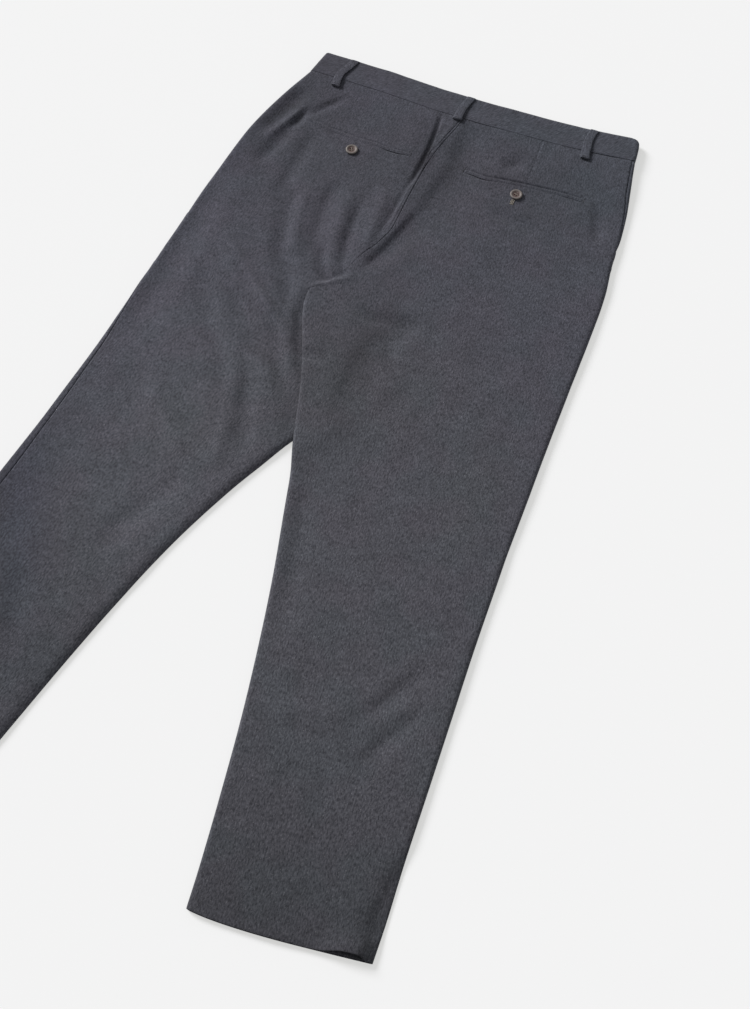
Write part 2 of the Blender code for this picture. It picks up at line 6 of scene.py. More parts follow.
import bmesh
import bpy
import numpy as np
from mathutils import Matrix, Vector


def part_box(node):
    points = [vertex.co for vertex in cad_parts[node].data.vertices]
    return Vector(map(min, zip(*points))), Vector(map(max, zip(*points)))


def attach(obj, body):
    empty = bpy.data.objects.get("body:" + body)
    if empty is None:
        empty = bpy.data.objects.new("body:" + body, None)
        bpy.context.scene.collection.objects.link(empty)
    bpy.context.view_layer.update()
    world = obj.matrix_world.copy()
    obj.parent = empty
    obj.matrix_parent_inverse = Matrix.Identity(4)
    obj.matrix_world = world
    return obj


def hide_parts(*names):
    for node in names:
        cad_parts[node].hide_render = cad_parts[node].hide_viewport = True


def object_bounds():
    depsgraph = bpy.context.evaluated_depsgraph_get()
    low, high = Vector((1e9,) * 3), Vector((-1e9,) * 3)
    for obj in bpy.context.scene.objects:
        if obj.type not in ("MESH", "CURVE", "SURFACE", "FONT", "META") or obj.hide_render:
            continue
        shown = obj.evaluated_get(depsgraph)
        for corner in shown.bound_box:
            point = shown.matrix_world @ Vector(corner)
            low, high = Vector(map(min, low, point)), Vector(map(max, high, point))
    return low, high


bl_info = {
    "name": "Flat-laid chinos",
    "version": (1, 0, 0),
    "blender": (4, 5, 0),
    "location": "3D Viewport > Sidebar > Chinos",
    "description": "Makes a pair of twill chinos, laid flat with the back up, piece by piece",
    "category": "Add Mesh",
}

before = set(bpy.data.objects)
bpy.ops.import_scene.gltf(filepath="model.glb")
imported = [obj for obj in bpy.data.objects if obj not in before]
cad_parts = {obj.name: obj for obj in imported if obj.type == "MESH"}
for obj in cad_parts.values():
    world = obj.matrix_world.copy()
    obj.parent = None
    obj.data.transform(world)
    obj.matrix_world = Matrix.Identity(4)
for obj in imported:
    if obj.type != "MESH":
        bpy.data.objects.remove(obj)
CAD_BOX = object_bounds()

CM = 0.01
MM = 0.001
MM_IN_CM = 0.1
BODY = "root"

# The tables have their origin at the middle of the waistband's top edge, in centimetres, with the waist up.
# The waist button's place is known in both frames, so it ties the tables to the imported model.
WAIST_BUTTON_PLACE = (1.2, -1.75)
_low, _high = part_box("button_waist")
ORIGIN = (
    (_low.x + _high.x) / 2 - WAIST_BUTTON_PLACE[0] * CM,
    (_low.y + _high.y) / 2 - WAIST_BUTTON_PLACE[1] * CM,
)

# --- Sizes of the garment ---
# Places across and along it are in centimetres, heights in millimetres.

SEAM_GAP = 0.008  # between two pieces that meet at a seam
BAND_HEIGHT = 3.65
BAND_BASE = 2.9  # heights of the waistband's two outer faces
BAND_TOP = 9.5
BAND_SWELL = 0.45  # reach of its rounded side ends
LAP = 4.0  # its left half goes on past centre front by this
LAP_RAMP = (4.3, 6.8)  # beside the lap, the right half's front comes down again
CENTRE_FRONT = -0.9

TOP_ROUND = 0.8  # width of a leg's rounded edge on the upper layer, seen from above
BOTTOM_ROUND = 0.4  # and on the lower layer
TOP_REACH = 1.1  # the cloth that it takes on the upper layer
SEAM_LIMIT = 0.85  # a side seam further over than this moves the end of the rounded part with it
BOTTOM_REACH = 0.6  # and on the lower layer
ROLL = 0.5  # the part of the upper one that curves, and the cloth that it takes
ROLL_REACH = 0.8
FOLD_SHARE = 0.42  # height of a fold's outermost line, between the two layers
INSEAM_REACH = 0.8  # how far the back goes round the inner fold, along the cloth

LIFT = 3.9  # the right leg rises by this over the left one
LIFT_RAMP = 2.8
PRESS = 2.5  # the upper layers are pressed down by this where the legs lie on each other
PRESS_RAMP = 3.4
PRESS_REACH = 1.5
PRESS_PAST_EDGE = 0.4
PRESS_WIDENS = (44.0, 49.0)  # down the leg, the reach of the pressed part grows to the ramp over this
SEAM_BLEND = 6.0  # below the waistband seam, the cross-sections follow its line for this long
CALM_LENGTH = 4.0  # the upper layer's waviness begins over this, below the waistband seam
DENTS_START = (5.0, 12.0)  # and the lower layer's dents between these
LEAST_GAP = 2.3  # from the lower layer's outer face up to the upper layer's
PLY_GAP = 0.3  # between two layers of cloth that lie on each other
HEM_PLY_GAP = 0.25
GAP_BLEND = 0.3  # how gently the upper layer comes to rest on it

INNER_FALL = 2.2  # the left leg's free inner edge falls by this, over the reach beside its fold
INNER_FALL_REACH = 0.65
INNER_FALL_START = (50.0, 58.0)

HEM_DEPTH = 3.4
HEM_SETBACK = 0.15
HEM_ROLL = 0.35
HEM_STITCH_START = 0.9  # from the leg's two edges
HEM_BOW = 0.44
HEM_BOW_REACH = 12.0
HEM_BOW_SKEW = 0.65
HEM_LIFT = 5.2  # the right hem's open corner: how far the back is raised there and pulled up the leg
HEM_LIFT_REACH = 4.0
HEM_PULL = 0.33
HEM_PULL_REACH = 2.5
HEM_GAP_START = (22.6, 25.3)
HEM_GAP_END = (26.3, 27.9)
SLASH_WIDTH = 4.2  # how far the slant mouth is cut into the front at the waist, and where it ends
SLASH_END = -18.0
FACING_UNDERLAP = 1.5
FACING_PAST_SEAM = 0.4
FLY_WIDTH = 4.4
FLY_LENGTH = 14.5
FLY_PAST_CENTRE = 0.6

TUCK_LAP = 0.32
TUCK_LAP_PLACE = 0.64  # to the right of the tuck's line
LOOP_WIDTH = 1.1
JET_HEIGHT = 0.46


def rows_of(kind, table):
    """A table's rows, with their columns named."""
    return [kind(*row) for row in table]


# One row per cross-section of a leg, from the waistband seam to the hem.
# at: place along the garment, at the inner edge. inner, outer: the two edges.
# rise: the outer end lies nearer the waist by this.
# turned: 1 where the back panel turns round the inner fold.
# front: centre-front seam, or the inner fold. seam: distance of the side seam from the outer fold, on top.
# covered: up to here the two legs lie on each other.
Section = namedtuple("Section", "at inner outer rise turned front seam covered")

RIGHT = rows_of(Section, [
    (-3.4, -0.30, 21.40, 1.0, 0.0, -0.90, 0.75, -14.0),
    (-4.9, -0.55, 21.70, 0.8, 0.0, -0.90, 0.80, -14.0),
    (-7.5, -1.13, 22.27, 0.6, 0.0, -0.90, 0.85, -14.0),
    (-11.0, -1.74, 22.98, 0.4, 0.0, -0.90, 0.68, -14.0),
    (-15.0, -2.00, 23.45, 0.2, 0.0, -0.90, 0.42, -14.0),
    (-18.0, -2.06, 23.60, 0.1, 0.0, -0.90, 0.20, -14.0),
    (-22.4, -2.05, 24.20, 0.0, 0.0, -1.10, 0.00, -14.0),
    (-25.5, -2.80, 24.40, 0.0, 0.0, -1.90, -0.10, -14.0),
    (-28.2, -4.00, 24.47, 0.0, 0.0, -3.10, -0.10, -13.0),
    (-30.8, -4.80, 24.53, 0.0, 0.0, -4.30, -0.10, -12.0),
    (-32.5, -5.30, 24.55, 0.0, 0.0, -5.00, -0.10, -9.0),
    (-33.8, -6.35, 24.57, 0.0, 0.0, -6.30, -0.10, -7.5),
    (-34.5, -7.25, 24.58, 0.0, 0.0, -7.20, -0.10, -6.6),
    (-34.8, -7.60, 24.58, 0.0, 1.0, -7.60, -0.10, -6.3),
    (-36.4, -7.45, 24.60, 0.0, 1.0, -7.45, -0.10, -1.6),
    (-38.5, -6.82, 24.65, 0.0, 1.0, -6.82, -0.10, 1.9),
    (-41.5, -5.50, 24.70, 0.0, 1.0, -5.50, -0.10, 4.2),
    (-44.5, -4.22, 24.77, 0.0, 1.0, -4.22, -0.10, 4.8),
    (-47.5, -3.12, 24.85, 0.0, 1.0, -3.12, -0.10, 4.0),
    (-51.0, -2.02, 24.97, 0.0, 1.0, -2.02, -0.10, 2.3),
    (-54.0, -1.10, 25.05, 0.0, 1.0, -1.10, -0.10, 0.4),
    (-58.0, 0.33, 25.15, 0.0, 1.0, 0.33, -0.10, -3.0),
    (-62.0, 1.45, 25.35, 0.0, 1.0, 1.45, -0.10, -8.0),
    (-70.0, 3.67, 25.75, 0.3, 1.0, 3.67, -0.10, -14.0),
    (-78.0, 5.60, 26.28, 0.6, 1.0, 5.60, -0.10, -14.0),
    (-86.0, 7.30, 26.80, 1.0, 1.0, 7.30, -0.10, -14.0),
    (-94.0, 8.73, 27.30, 1.4, 1.0, 8.73, -0.10, -14.0),
    (-100.2, 9.75, 27.80, 1.75, 1.0, 9.75, -0.10, -14.0),
    (-103.8, 10.25, 28.00, 1.9, 1.0, 10.25, -0.10, -14.0),
])

LEFT = rows_of(Section, [
    (-3.4, -0.30, -21.10, 0.1, 0.0, -0.90, 0.00, 30.0),
    (-4.9, -0.55, -21.60, 0.1, 0.0, -0.90, 0.00, 30.0),
    (-7.5, -1.13, -22.55, 0.0, 0.0, -0.90, 0.00, 30.0),
    (-11.0, -1.74, -23.60, 0.0, 0.0, -0.90, 0.00, 30.0),
    (-15.0, -2.00, -24.40, 0.0, 0.0, -0.90, 0.00, 30.0),
    (-18.0, -2.06, -24.75, 0.0, 0.0, -0.90, 0.00, 30.0),
    (-22.4, -2.05, -25.10, 0.0, 0.0, -1.10, 0.00, 30.0),
    (-25.5, -2.80, -25.35, 0.0, 0.0, -1.90, 0.05, 20.0),
    (-28.2, -4.00, -25.50, 0.0, 0.0, -3.10, 0.10, 10.0),
    (-30.8, -4.80, -25.60, 0.0, 0.0, -4.30, 0.15, 3.0),
    (-32.5, -5.30, -25.70, 0.0, 0.0, -5.00, 0.20, -1.0),
    (-33.8, -6.35, -25.78, 0.0, 0.0, -6.30, 0.22, -4.0),
    (-34.5, -7.25, -25.83, 0.0, 0.0, -7.35, 0.24, -5.8),
    (-34.8, -7.60, -25.85, 0.0, 0.0, -7.80, 0.10, -6.6),
    (-36.4, -3.00, -25.90, 0.0, 1.0, -3.00, 0.10, -7.2),
    (-38.5, 0.30, -26.00, 0.0, 1.0, 0.30, 0.15, -6.7),
    (-41.5, 2.60, -26.20, 0.0, 1.0, 2.60, 0.36, -5.5),
    (-44.5, 3.20, -26.30, 0.0, 1.0, 3.20, 0.59, -4.35),
    (-47.5, 2.40, -26.45, 0.0, 1.0, 2.40, 0.80, -3.3),
    (-51.0, 0.75, -26.65, 0.0, 1.0, 0.75, 0.96, -2.0),
    (-54.0, -1.10, -26.90, 0.0, 1.0, -1.10, 1.02, 0.0),
    (-58.0, -2.90, -27.30, 0.0, 1.0, -2.90, 1.13, 6.0),
    (-62.0, -4.65, -27.65, 0.1, 1.0, -4.65, 1.18, 20.0),
    (-70.0, -7.52, -28.55, 0.5, 1.0, -7.52, 1.40, 30.0),
    (-78.0, -9.70, -29.50, 0.9, 1.0, -9.70, 1.40, 30.0),
    (-86.0, -11.55, -30.40, 1.4, 1.0, -11.55, 1.20, 30.0),
    (-94.0, -13.22, -31.35, 1.9, 1.0, -13.22, 1.00, 30.0),
    (-100.4, -14.50, -32.10, 2.4, 1.0, -14.50, 0.85, 30.0),
    (-104.0, -15.20, -32.50, 2.65, 1.0, -15.20, 0.85, 30.0),
])

# Height of the two layers' outer faces above the surface, by place along the garment.
Layers = namedtuple("Layers", "at bottom top")
LAYERS = rows_of(Layers, [
    (-3.4, 2.9, 9.2),
    (-4.9, 2.9, 8.9),
    (-7.5, 1.5, 7.8),
    (-11.0, 0.0, 6.7),
    (-18.0, 0.0, 6.5),
    (-34.8, 0.0, 6.3),
    (-54.0, 0.0, 6.0),
    (-92.0, 0.0, 5.7),
    (-104.0, 0.0, 4.9),
])

# Creases of the back, each from a start down to an end. bow: sideways offset of its middle.
# left, right: how far it reaches to its two sides. depth: a trough when positive, a ridge when negative.
# grow, fade: the shares of its length over which it starts and ends.
# A row gives the place of the wall that shows, the one on the side of the light.
# The middle of the crease lies beyond it, by WALL_SHARE of its reach to the left.
CREASE_LIMIT = 4.3  # troughs level off towards this depth, so that the two layers never meet
WALL_SHARE = 0.6
AWAY_FROM_LIGHT = (0.93, -0.37)
CREASE_OVERRUN = 0.05  # share of its length by which a crease begins before its start and ends past its end
Crease = namedtuple("Crease", "x0 y0 x1 y1 bow left right depth grow fade")
SEAT_CREASES = rows_of(Crease, [
    (-3.26, -3.9, -2.94, -16.8, 0.48, 0.40, 0.16, 8.5, 0.34, 0.42),  # tuck beside the seam
    (-4.1, -4.3, -3.6, -17.0, 0.20, 0.80, 0.60, 1.0, 0.30, 0.35),
    (-3.0, -15.5, -3.4, -25.0, 0.10, 0.40, 0.35, 1.3, 0.30, 0.40),
    (-1.3, -4.5, -2.7, -22.5, -0.35, 0.35, 0.30, -0.9, 0.20, 0.20),  # ridge beside the seam
    (0.3, -3.8, 0.8, -19.0, 0.35, 1.20, 2.20, 4.0, 0.25, 0.40),  # right of the seam
    (0.6, -13.0, -1.0, -25.5, 0.20, 1.00, 1.80, 3.5, 0.30, 0.30),
    (-0.2, -19.0, -3.1, -29.5, 0.25, 0.70, 1.30, 4.0, 0.30, 0.30),
    (-20.5, -5.8, -23.1, -15.4, -0.20, 0.90, 0.90, 4.0, 0.30, 0.30),  # left hip
    (-19.6, -9.4, -22.3, -16.0, 0.00, 0.50, 0.40, -2.0, 0.25, 0.35),
    (-19.1, -9.0, -20.1, -13.5, 0.10, 0.40, 0.60, 4.0, 0.25, 0.45),
    (-20.1, -12.4, -21.7, -20.0, 0.15, 0.90, 0.80, 3.5, 0.25, 0.35),
    (-15.1, -5.5, -18.7, -10.3, 0.00, 0.50, 0.50, 1.8, 0.40, 0.30),
    (-16.7, -12.0, -16.4, -26.0, -0.60, 0.90, 0.90, 2.5, 0.30, 0.40),
    (-15.9, -21.0, -12.0, -34.5, -0.45, 1.05, 0.90, 3.5, 0.30, 0.30),  # left seat, to the crotch
    (-13.0, -30.0, -8.8, -38.5, 0.00, 1.00, 0.90, 4.5, 0.35, 0.30),
    (-14.2, -20.0, -10.8, -33.0, -0.60, 0.90, 0.90, -2.0, 0.30, 0.30),
    (-11.2, -18.0, -9.6, -30.5, -0.60, 0.80, 0.80, 2.5, 0.35, 0.30),
    (-9.5, -28.0, -6.3, -33.5, 0.00, 0.70, 0.60, 4.0, 0.35, 0.25),
    (-9.0, -19.0, -6.6, -31.5, -0.60, 0.80, 0.80, -1.8, 0.30, 0.30),
    (-7.2, -19.5, -5.4, -31.0, -0.45, 0.60, 0.60, 2.2, 0.35, 0.25),
    (-5.2, -17.0, -4.2, -29.5, 0.00, 0.80, 0.80, -2.2, 0.30, 0.30),
    (-3.2, -31.2, -7.9, -34.6, -0.30, 0.40, 0.40, -1.3, 0.25, 0.15),  # crotch ridge
    (-4.4, -30.4, -7.3, -33.0, 0.20, 0.40, 0.40, 1.8, 0.40, 0.30),
    (-0.5, -19.0, -3.6, -30.5, 0.50, 0.50, 0.80, 2.0, 0.30, 0.30),
    (9.0, -6.6, 6.2, -9.2, 0.00, 0.90, 0.80, 2.0, 0.40, 0.40),  # right seat
    (7.5, -16.0, 14.5, -17.5, 0.30, 0.90, 0.90, 2.0, 0.30, 0.30),
    (18.7, -10.2, 20.6, -16.5, 0.20, 0.60, 0.90, 3.0, 0.40, 0.40),
    (2.8, -8.0, 3.4, -24.0, -1.20, 1.60, 2.20, 3.0, 0.40, 0.40),
])
LEFT_LEG_CREASES = rows_of(Crease, [
    (-8.8, -35.6, -3.5, -46.5, 0.10, 1.00, 0.80, 4.0, 0.30, 0.40),  # beside the right leg's fold
    (-11.2, -39.0, -4.4, -50.0, 0.20, 0.90, 0.90, 4.5, 0.40, 0.40),
    (-16.8, -37.5, -7.5, -47.5, 0.30, 1.30, 1.20, 4.5, 0.40, 0.40),
    (-21.7, -36.0, -14.3, -45.8, 0.00, 1.30, 1.20, 4.0, 0.40, 0.40),
    (-16.6, -43.4, -10.2, -51.3, 0.30, 1.10, 1.00, 4.0, 0.40, 0.40),
    (-10.7, -47.5, -5.6, -59.0, 0.60, 1.10, 1.00, 4.5, 0.40, 0.40),
    (-20.5, -37.5, -7.3, -53.5, 0.00, 0.90, 1.10, -2.5, 0.40, 0.40),
    (-25.0, -22.0, -24.6, -52.0, 0.00, 1.30, 1.60, 3.0, 0.30, 0.40),
    (-10.6, -61.0, -16.2, -75.0, 0.00, 1.20, 1.60, 2.5, 0.40, 0.40),
    (-22.5, -78.0, -17.0, -88.5, 0.20, 1.20, 1.20, 2.5, 0.40, 0.40),
    (-29.0, -92.0, -29.9, -101.5, 0.00, 0.90, 0.80, 0.7, 0.40, 0.30),
    (-22.8, -28.0, -8.6, -40.5, -0.40, 0.70, 0.70, -2.5, 0.30, 0.30),
    (-22.2, -31.0, -8.2, -46.0, 0.60, 0.60, 0.60, -1.3, 0.30, 0.30),
    (-14.2, -37.0, -6.0, -43.5, 0.60, 0.50, 0.60, -2.2, 0.30, 0.30),
    (-20.6, -52.0, -10.4, -61.5, 0.00, 1.20, 1.20, -2.5, 0.30, 0.30),
    (-9.2, -54.0, -8.0, -61.0, 0.00, 0.80, 0.80, -1.3, 0.30, 0.30),
])
RIGHT_LEG_CREASES = rows_of(Crease, [
    (4.0, -33.0, 1.6, -50.0, -0.60, 1.50, 1.80, 3.5, 0.35, 0.40),  # right thigh
    (7.0, -34.6, -1.5, -35.6, 0.20, 1.10, 1.10, 2.2, 0.30, 0.30),
    (-1.5, -42.4, -5.0, -43.2, 0.00, 0.50, 0.80, 3.0, 0.40, 0.30),
    (1.4, -56.0, 6.8, -78.0, 0.20, 1.00, 1.40, 1.8, 0.25, 0.40),
    (9.0, -82.0, 17.0, -80.6, -0.60, 1.00, 0.80, -1.5, 0.30, 0.30),
    (22.2, -72.6, 17.6, -80.2, 0.20, 0.70, 0.80, 2.5, 0.35, 0.40),  # shin
    (23.0, -77.0, 19.0, -85.4, 0.10, 0.80, 0.90, 2.5, 0.35, 0.40),
    (16.6, -81.6, 23.0, -75.4, 0.30, 0.70, 0.70, 1.0, 0.30, 0.30),
    (27.0, -90.0, 26.4, -101.5, 0.15, 0.90, 0.80, 4.0, 0.30, 0.30),
])

# The waistband's top edge, from right to left, and its two side ends.
Waist = namedtuple("Waist", "at y")
WAIST = rows_of(Waist, [
    (22.5, 1.49),
    (20.5, 1.22),
    (17.0, 0.76),
    (13.5, 0.40),
    (9.5, 0.16),
    (5.5, 0.04),
    (2.0, -0.12),
    (-4.0, -0.13),
    (-8.5, 0.05),
    (-12.5, 0.20),
    (-20.5, 0.21),
    (-21.5, 0.21),
])
BandEnd = namedtuple("BandEnd", "at left right")
BAND_ENDS = rows_of(BandEnd, [
    (1.0, -20.45, 20.20),
    (0.94, -20.50, 20.70),
    (0.8, -20.60, 21.00),
    (0.4, -20.85, 21.25),
    (0.0, -21.10, 21.40),
])

# Belt loops: the place across of the middle line, at even steps along it, and the reach below the waist line.
Loop = namedtuple("Loop", "middle length")
BACK_LOOPS = {
    "loop_back_left": Loop((-16.35, -16.60, -16.95, -17.27, -17.22, -17.00), 5.15),
    "loop_back_centre": Loop((-0.55, -0.72, -0.90, -1.02, -1.00, -0.97), 4.30),
    "loop_back_right": Loop((15.35, 15.15, 15.10, 15.25, 15.35, 15.62), 5.05),
}
FRONT_LOOPS = {
    "loop_front_left": Loop((-9.5, -9.5, -9.5, -9.5, -9.5, -9.5), 4.6),
    "loop_front_right": Loop((10.5, 10.5, 10.5, 10.5, 10.5, 10.5), 4.6),
}
# A back loop's outer face: place along it as a share of its length, and height above the waistband.
# The last rows turn back under its lower end.
LoopTurn = namedtuple("LoopTurn", "share out")
LOOP_TURNS = rows_of(LoopTurn, [
    (0.015, 0.2),
    (0.03, 1.0),
    (0.08, 1.5),
    (0.25, 1.8),
    (0.45, 2.0),
    (0.65, 2.5),
    (0.82, 2.8),
    (0.93, 2.65),
    (0.985, 2.2),
    (1.0, 1.7),
    (0.985, 1.15),
    (0.90, 1.1),
])
# The same for a front loop, which lies on the surface: place along it, and height above the surface.
FLAT_LOOP_TURNS = rows_of(LoopTurn, [(0.04, 1.2), (0.15, 0.5), (0.4, 0.05), (0.85, 0.05), (1.0, 0.9)])
LOOP_TILT = 0.5  # a back loop's left edge is pressed down, and its right edge stands up
LOOP_FLAT = 1.3  # up to this height it doesn't tilt
LOOP_COLUMNS = (-0.5, -0.47, -0.42, -0.3, -0.1, 0.1, 0.3, 0.42, 0.47, 0.5)  # shares of its width
LOOP_TAPER = 0.16  # how much narrower it is at its lower end
LOOP_CROWN = 0.4

# The upper edge of a back pocket's mouth, from its inner to its outer end, and its button.
Point = namedtuple("Point", "x y")
MOUTHS = {
    "left": rows_of(Point, [
        (-4.3, -11.28), (-6.5, -11.40), (-8.8, -11.33), (-11.3, -11.42),
        (-13.5, -11.25), (-15.3, -11.15), (-17.3, -10.75), (-19.2, -10.25),
    ]),
    "right": rows_of(Point, [
        (2.5, -10.85), (3.9, -11.02), (5.3, -11.20), (7.0, -11.02),
        (10.0, -10.62), (13.0, -10.30), (16.5, -10.12), (17.5, -10.16),
    ]),
}
BUTTON_SLIP = {"left": (0.13, -0.18), "right": (-0.03, -0.17)}  # each hangs a little off its stitched place

# Uneven strength of a seam or groove along it: soft rises and dips, each with its place, reach and height.
Spot = namedtuple("Spot", "at wide more")
BAND_SEAM_STRENGTH = 0.36
BAND_SEAM_SPOTS = rows_of(Spot, [(18.0, 1.7, 1.4), (2.8, 1.2, -0.2)])
MOUTH_STRENGTH = {"left": 0.42, "right": 1.0}
MOUTH_SPOTS = {"left": rows_of(Spot, [(-6.9, 2.4, 0.5), (-14.4, 1.8, 0.45)]), "right": []}

# The back darts, each from its start at the waistband down to its end.
Dart = namedtuple("Dart", "x0 y0 x1 y1 depth")
DARTS = {
    "left": Dart(-10.3, -3.6, -11.8, -11.2, 0.1),
    "right": Dart(9.95, -3.6, 10.35, -10.6, 0.45),
}

# The cut of each cloth piece: width, length and area, in metres and square metres.
Cut = namedtuple("Cut", "width length area")
CUTS = {
    "back_left": Cut(0.270, 1.010, 0.223),
    "back_right": Cut(0.335, 1.015, 0.249),
    "front_left": Cut(0.300, 1.010, 0.220),
    "front_right": Cut(0.290, 1.015, 0.235),
    "waistband_left": Cut(0.460, 0.0365, 0.0168),
    "waistband_right": Cut(0.450, 0.0365, 0.0164),
    "pocket_facing_left": Cut(0.062, 0.146, 0.0054),
    "pocket_facing_right": Cut(0.069, 0.146, 0.0063),
    "hem_left": Cut(0.360, 0.033, 0.0116),
    "hem_right": Cut(0.370, 0.033, 0.0119),
    "fly_shield": Cut(0.044, 0.146, 0.0064),
    "welt_left": Cut(0.150, 0.010, 0.0009),
    "welt_right": Cut(0.150, 0.010, 0.0009),
    "loop": Cut(0.011, 0.056, 0.00060),
}


def ramp(value, start, end):
    """0 before start, 1 after end, with a smooth climb between them."""
    share = np.clip((value - start) / (end - start), 0.0, 1.0)
    return share * share * (3.0 - 2.0 * share)


def mix(a, b, share):
    """From a to b, by a share."""
    return a + (b - a) * share


def hump(distance, width):
    """1 at no distance, and nearly 0 at two widths."""
    return np.exp(-((distance / width) ** 2))


def with_spots(strength, spots, x):
    """A strength with its soft rises and dips along a line."""
    for spot in spots:
        strength = strength + spot.more * hump(x - spot.at, spot.wide)
    return strength


class SmoothLine:
    """A smooth line through the values of a table, which never swings past its rows."""

    def __init__(self, places, values):
        order = np.argsort(places)
        self.place = np.array(places, float)[order]
        self.value = np.array(values, float)[order]
        self.step = np.diff(self.place)
        rise = np.diff(self.value) / self.step
        self.slope = np.zeros_like(self.value)
        same = rise[:-1] * rise[1:] > 0
        both = np.where(same, rise[:-1] + rise[1:], 1.0)
        self.slope[1:-1] = np.where(same, 2 * rise[:-1] * rise[1:] / both, 0.0)
        self.slope[0], self.slope[-1] = rise[0], rise[-1]

    def __call__(self, at):
        at = np.clip(at, self.place[0], self.place[-1])
        i = np.clip(np.searchsorted(self.place, at) - 1, 0, len(self.step) - 1)
        h = self.step[i]
        t = (at - self.place[i]) / h
        start, end = self.value[i], self.value[i + 1]
        climb = self.slope[i] * h * t * (1 - t) ** 2 - self.slope[i + 1] * h * t * t * (1 - t)
        return mix(start, end, t * t * (3 - 2 * t)) + climb


def column_of(table, name):
    """A column of a table, as a smooth line over its places."""
    return SmoothLine([row.at for row in table], [getattr(row, name) for row in table])


waist_line = column_of(WAIST, "y")
layer_bottom = column_of(LAYERS, "bottom")
layer_top = column_of(LAYERS, "top")


def crease_depth(creases, x, y):
    """How far the creases sink the cloth at each place. Ridges raise it."""
    total = np.zeros(np.broadcast(x, y).shape)
    for c in creases:
        run_x, run_y = c.x1 - c.x0, c.y1 - c.y0
        length = math.hypot(run_x, run_y)
        along = ((x - c.x0) * run_x + (y - c.y0) * run_y) / length**2
        across = ((y - c.y0) * run_x - (x - c.x0) * run_y) / length
        middle = np.clip(along, 0.0, 1.0)
        away = AWAY_FROM_LIGHT[1] * run_x - AWAY_FROM_LIGHT[0] * run_y
        across = across - WALL_SHARE * c.left * away / length
        across = across - c.bow * 4 * middle * (1 - middle)
        width = np.where(across < 0, c.left, c.right)
        ends = ramp(along, -CREASE_OVERRUN, c.grow) * ramp(1 - along, -CREASE_OVERRUN, c.fade)
        total += c.depth * ends * hump(across, width)
    return np.where(total > 0, CREASE_LIMIT * np.tanh(total / CREASE_LIMIT), total)


WAVES = 26


def unevenness(x, y, seed, widest, narrowest, height):
    """Slight waviness of cloth that was worn and smoothed by hand, as a sum of a few long waves."""
    draw = np.random.default_rng(seed)
    total = np.zeros(np.broadcast(x, y).shape)
    for _ in range(WAVES):
        size = narrowest * (widest / narrowest) ** draw.random()
        turn, phase = draw.random() * math.pi, draw.random() * 2 * math.pi
        wave = 2 * math.pi / size
        total += np.sin((x * math.cos(turn) + y * math.sin(turn) * 0.6) * wave + phase) * size / widest
    return height * total / math.sqrt(WAVES)


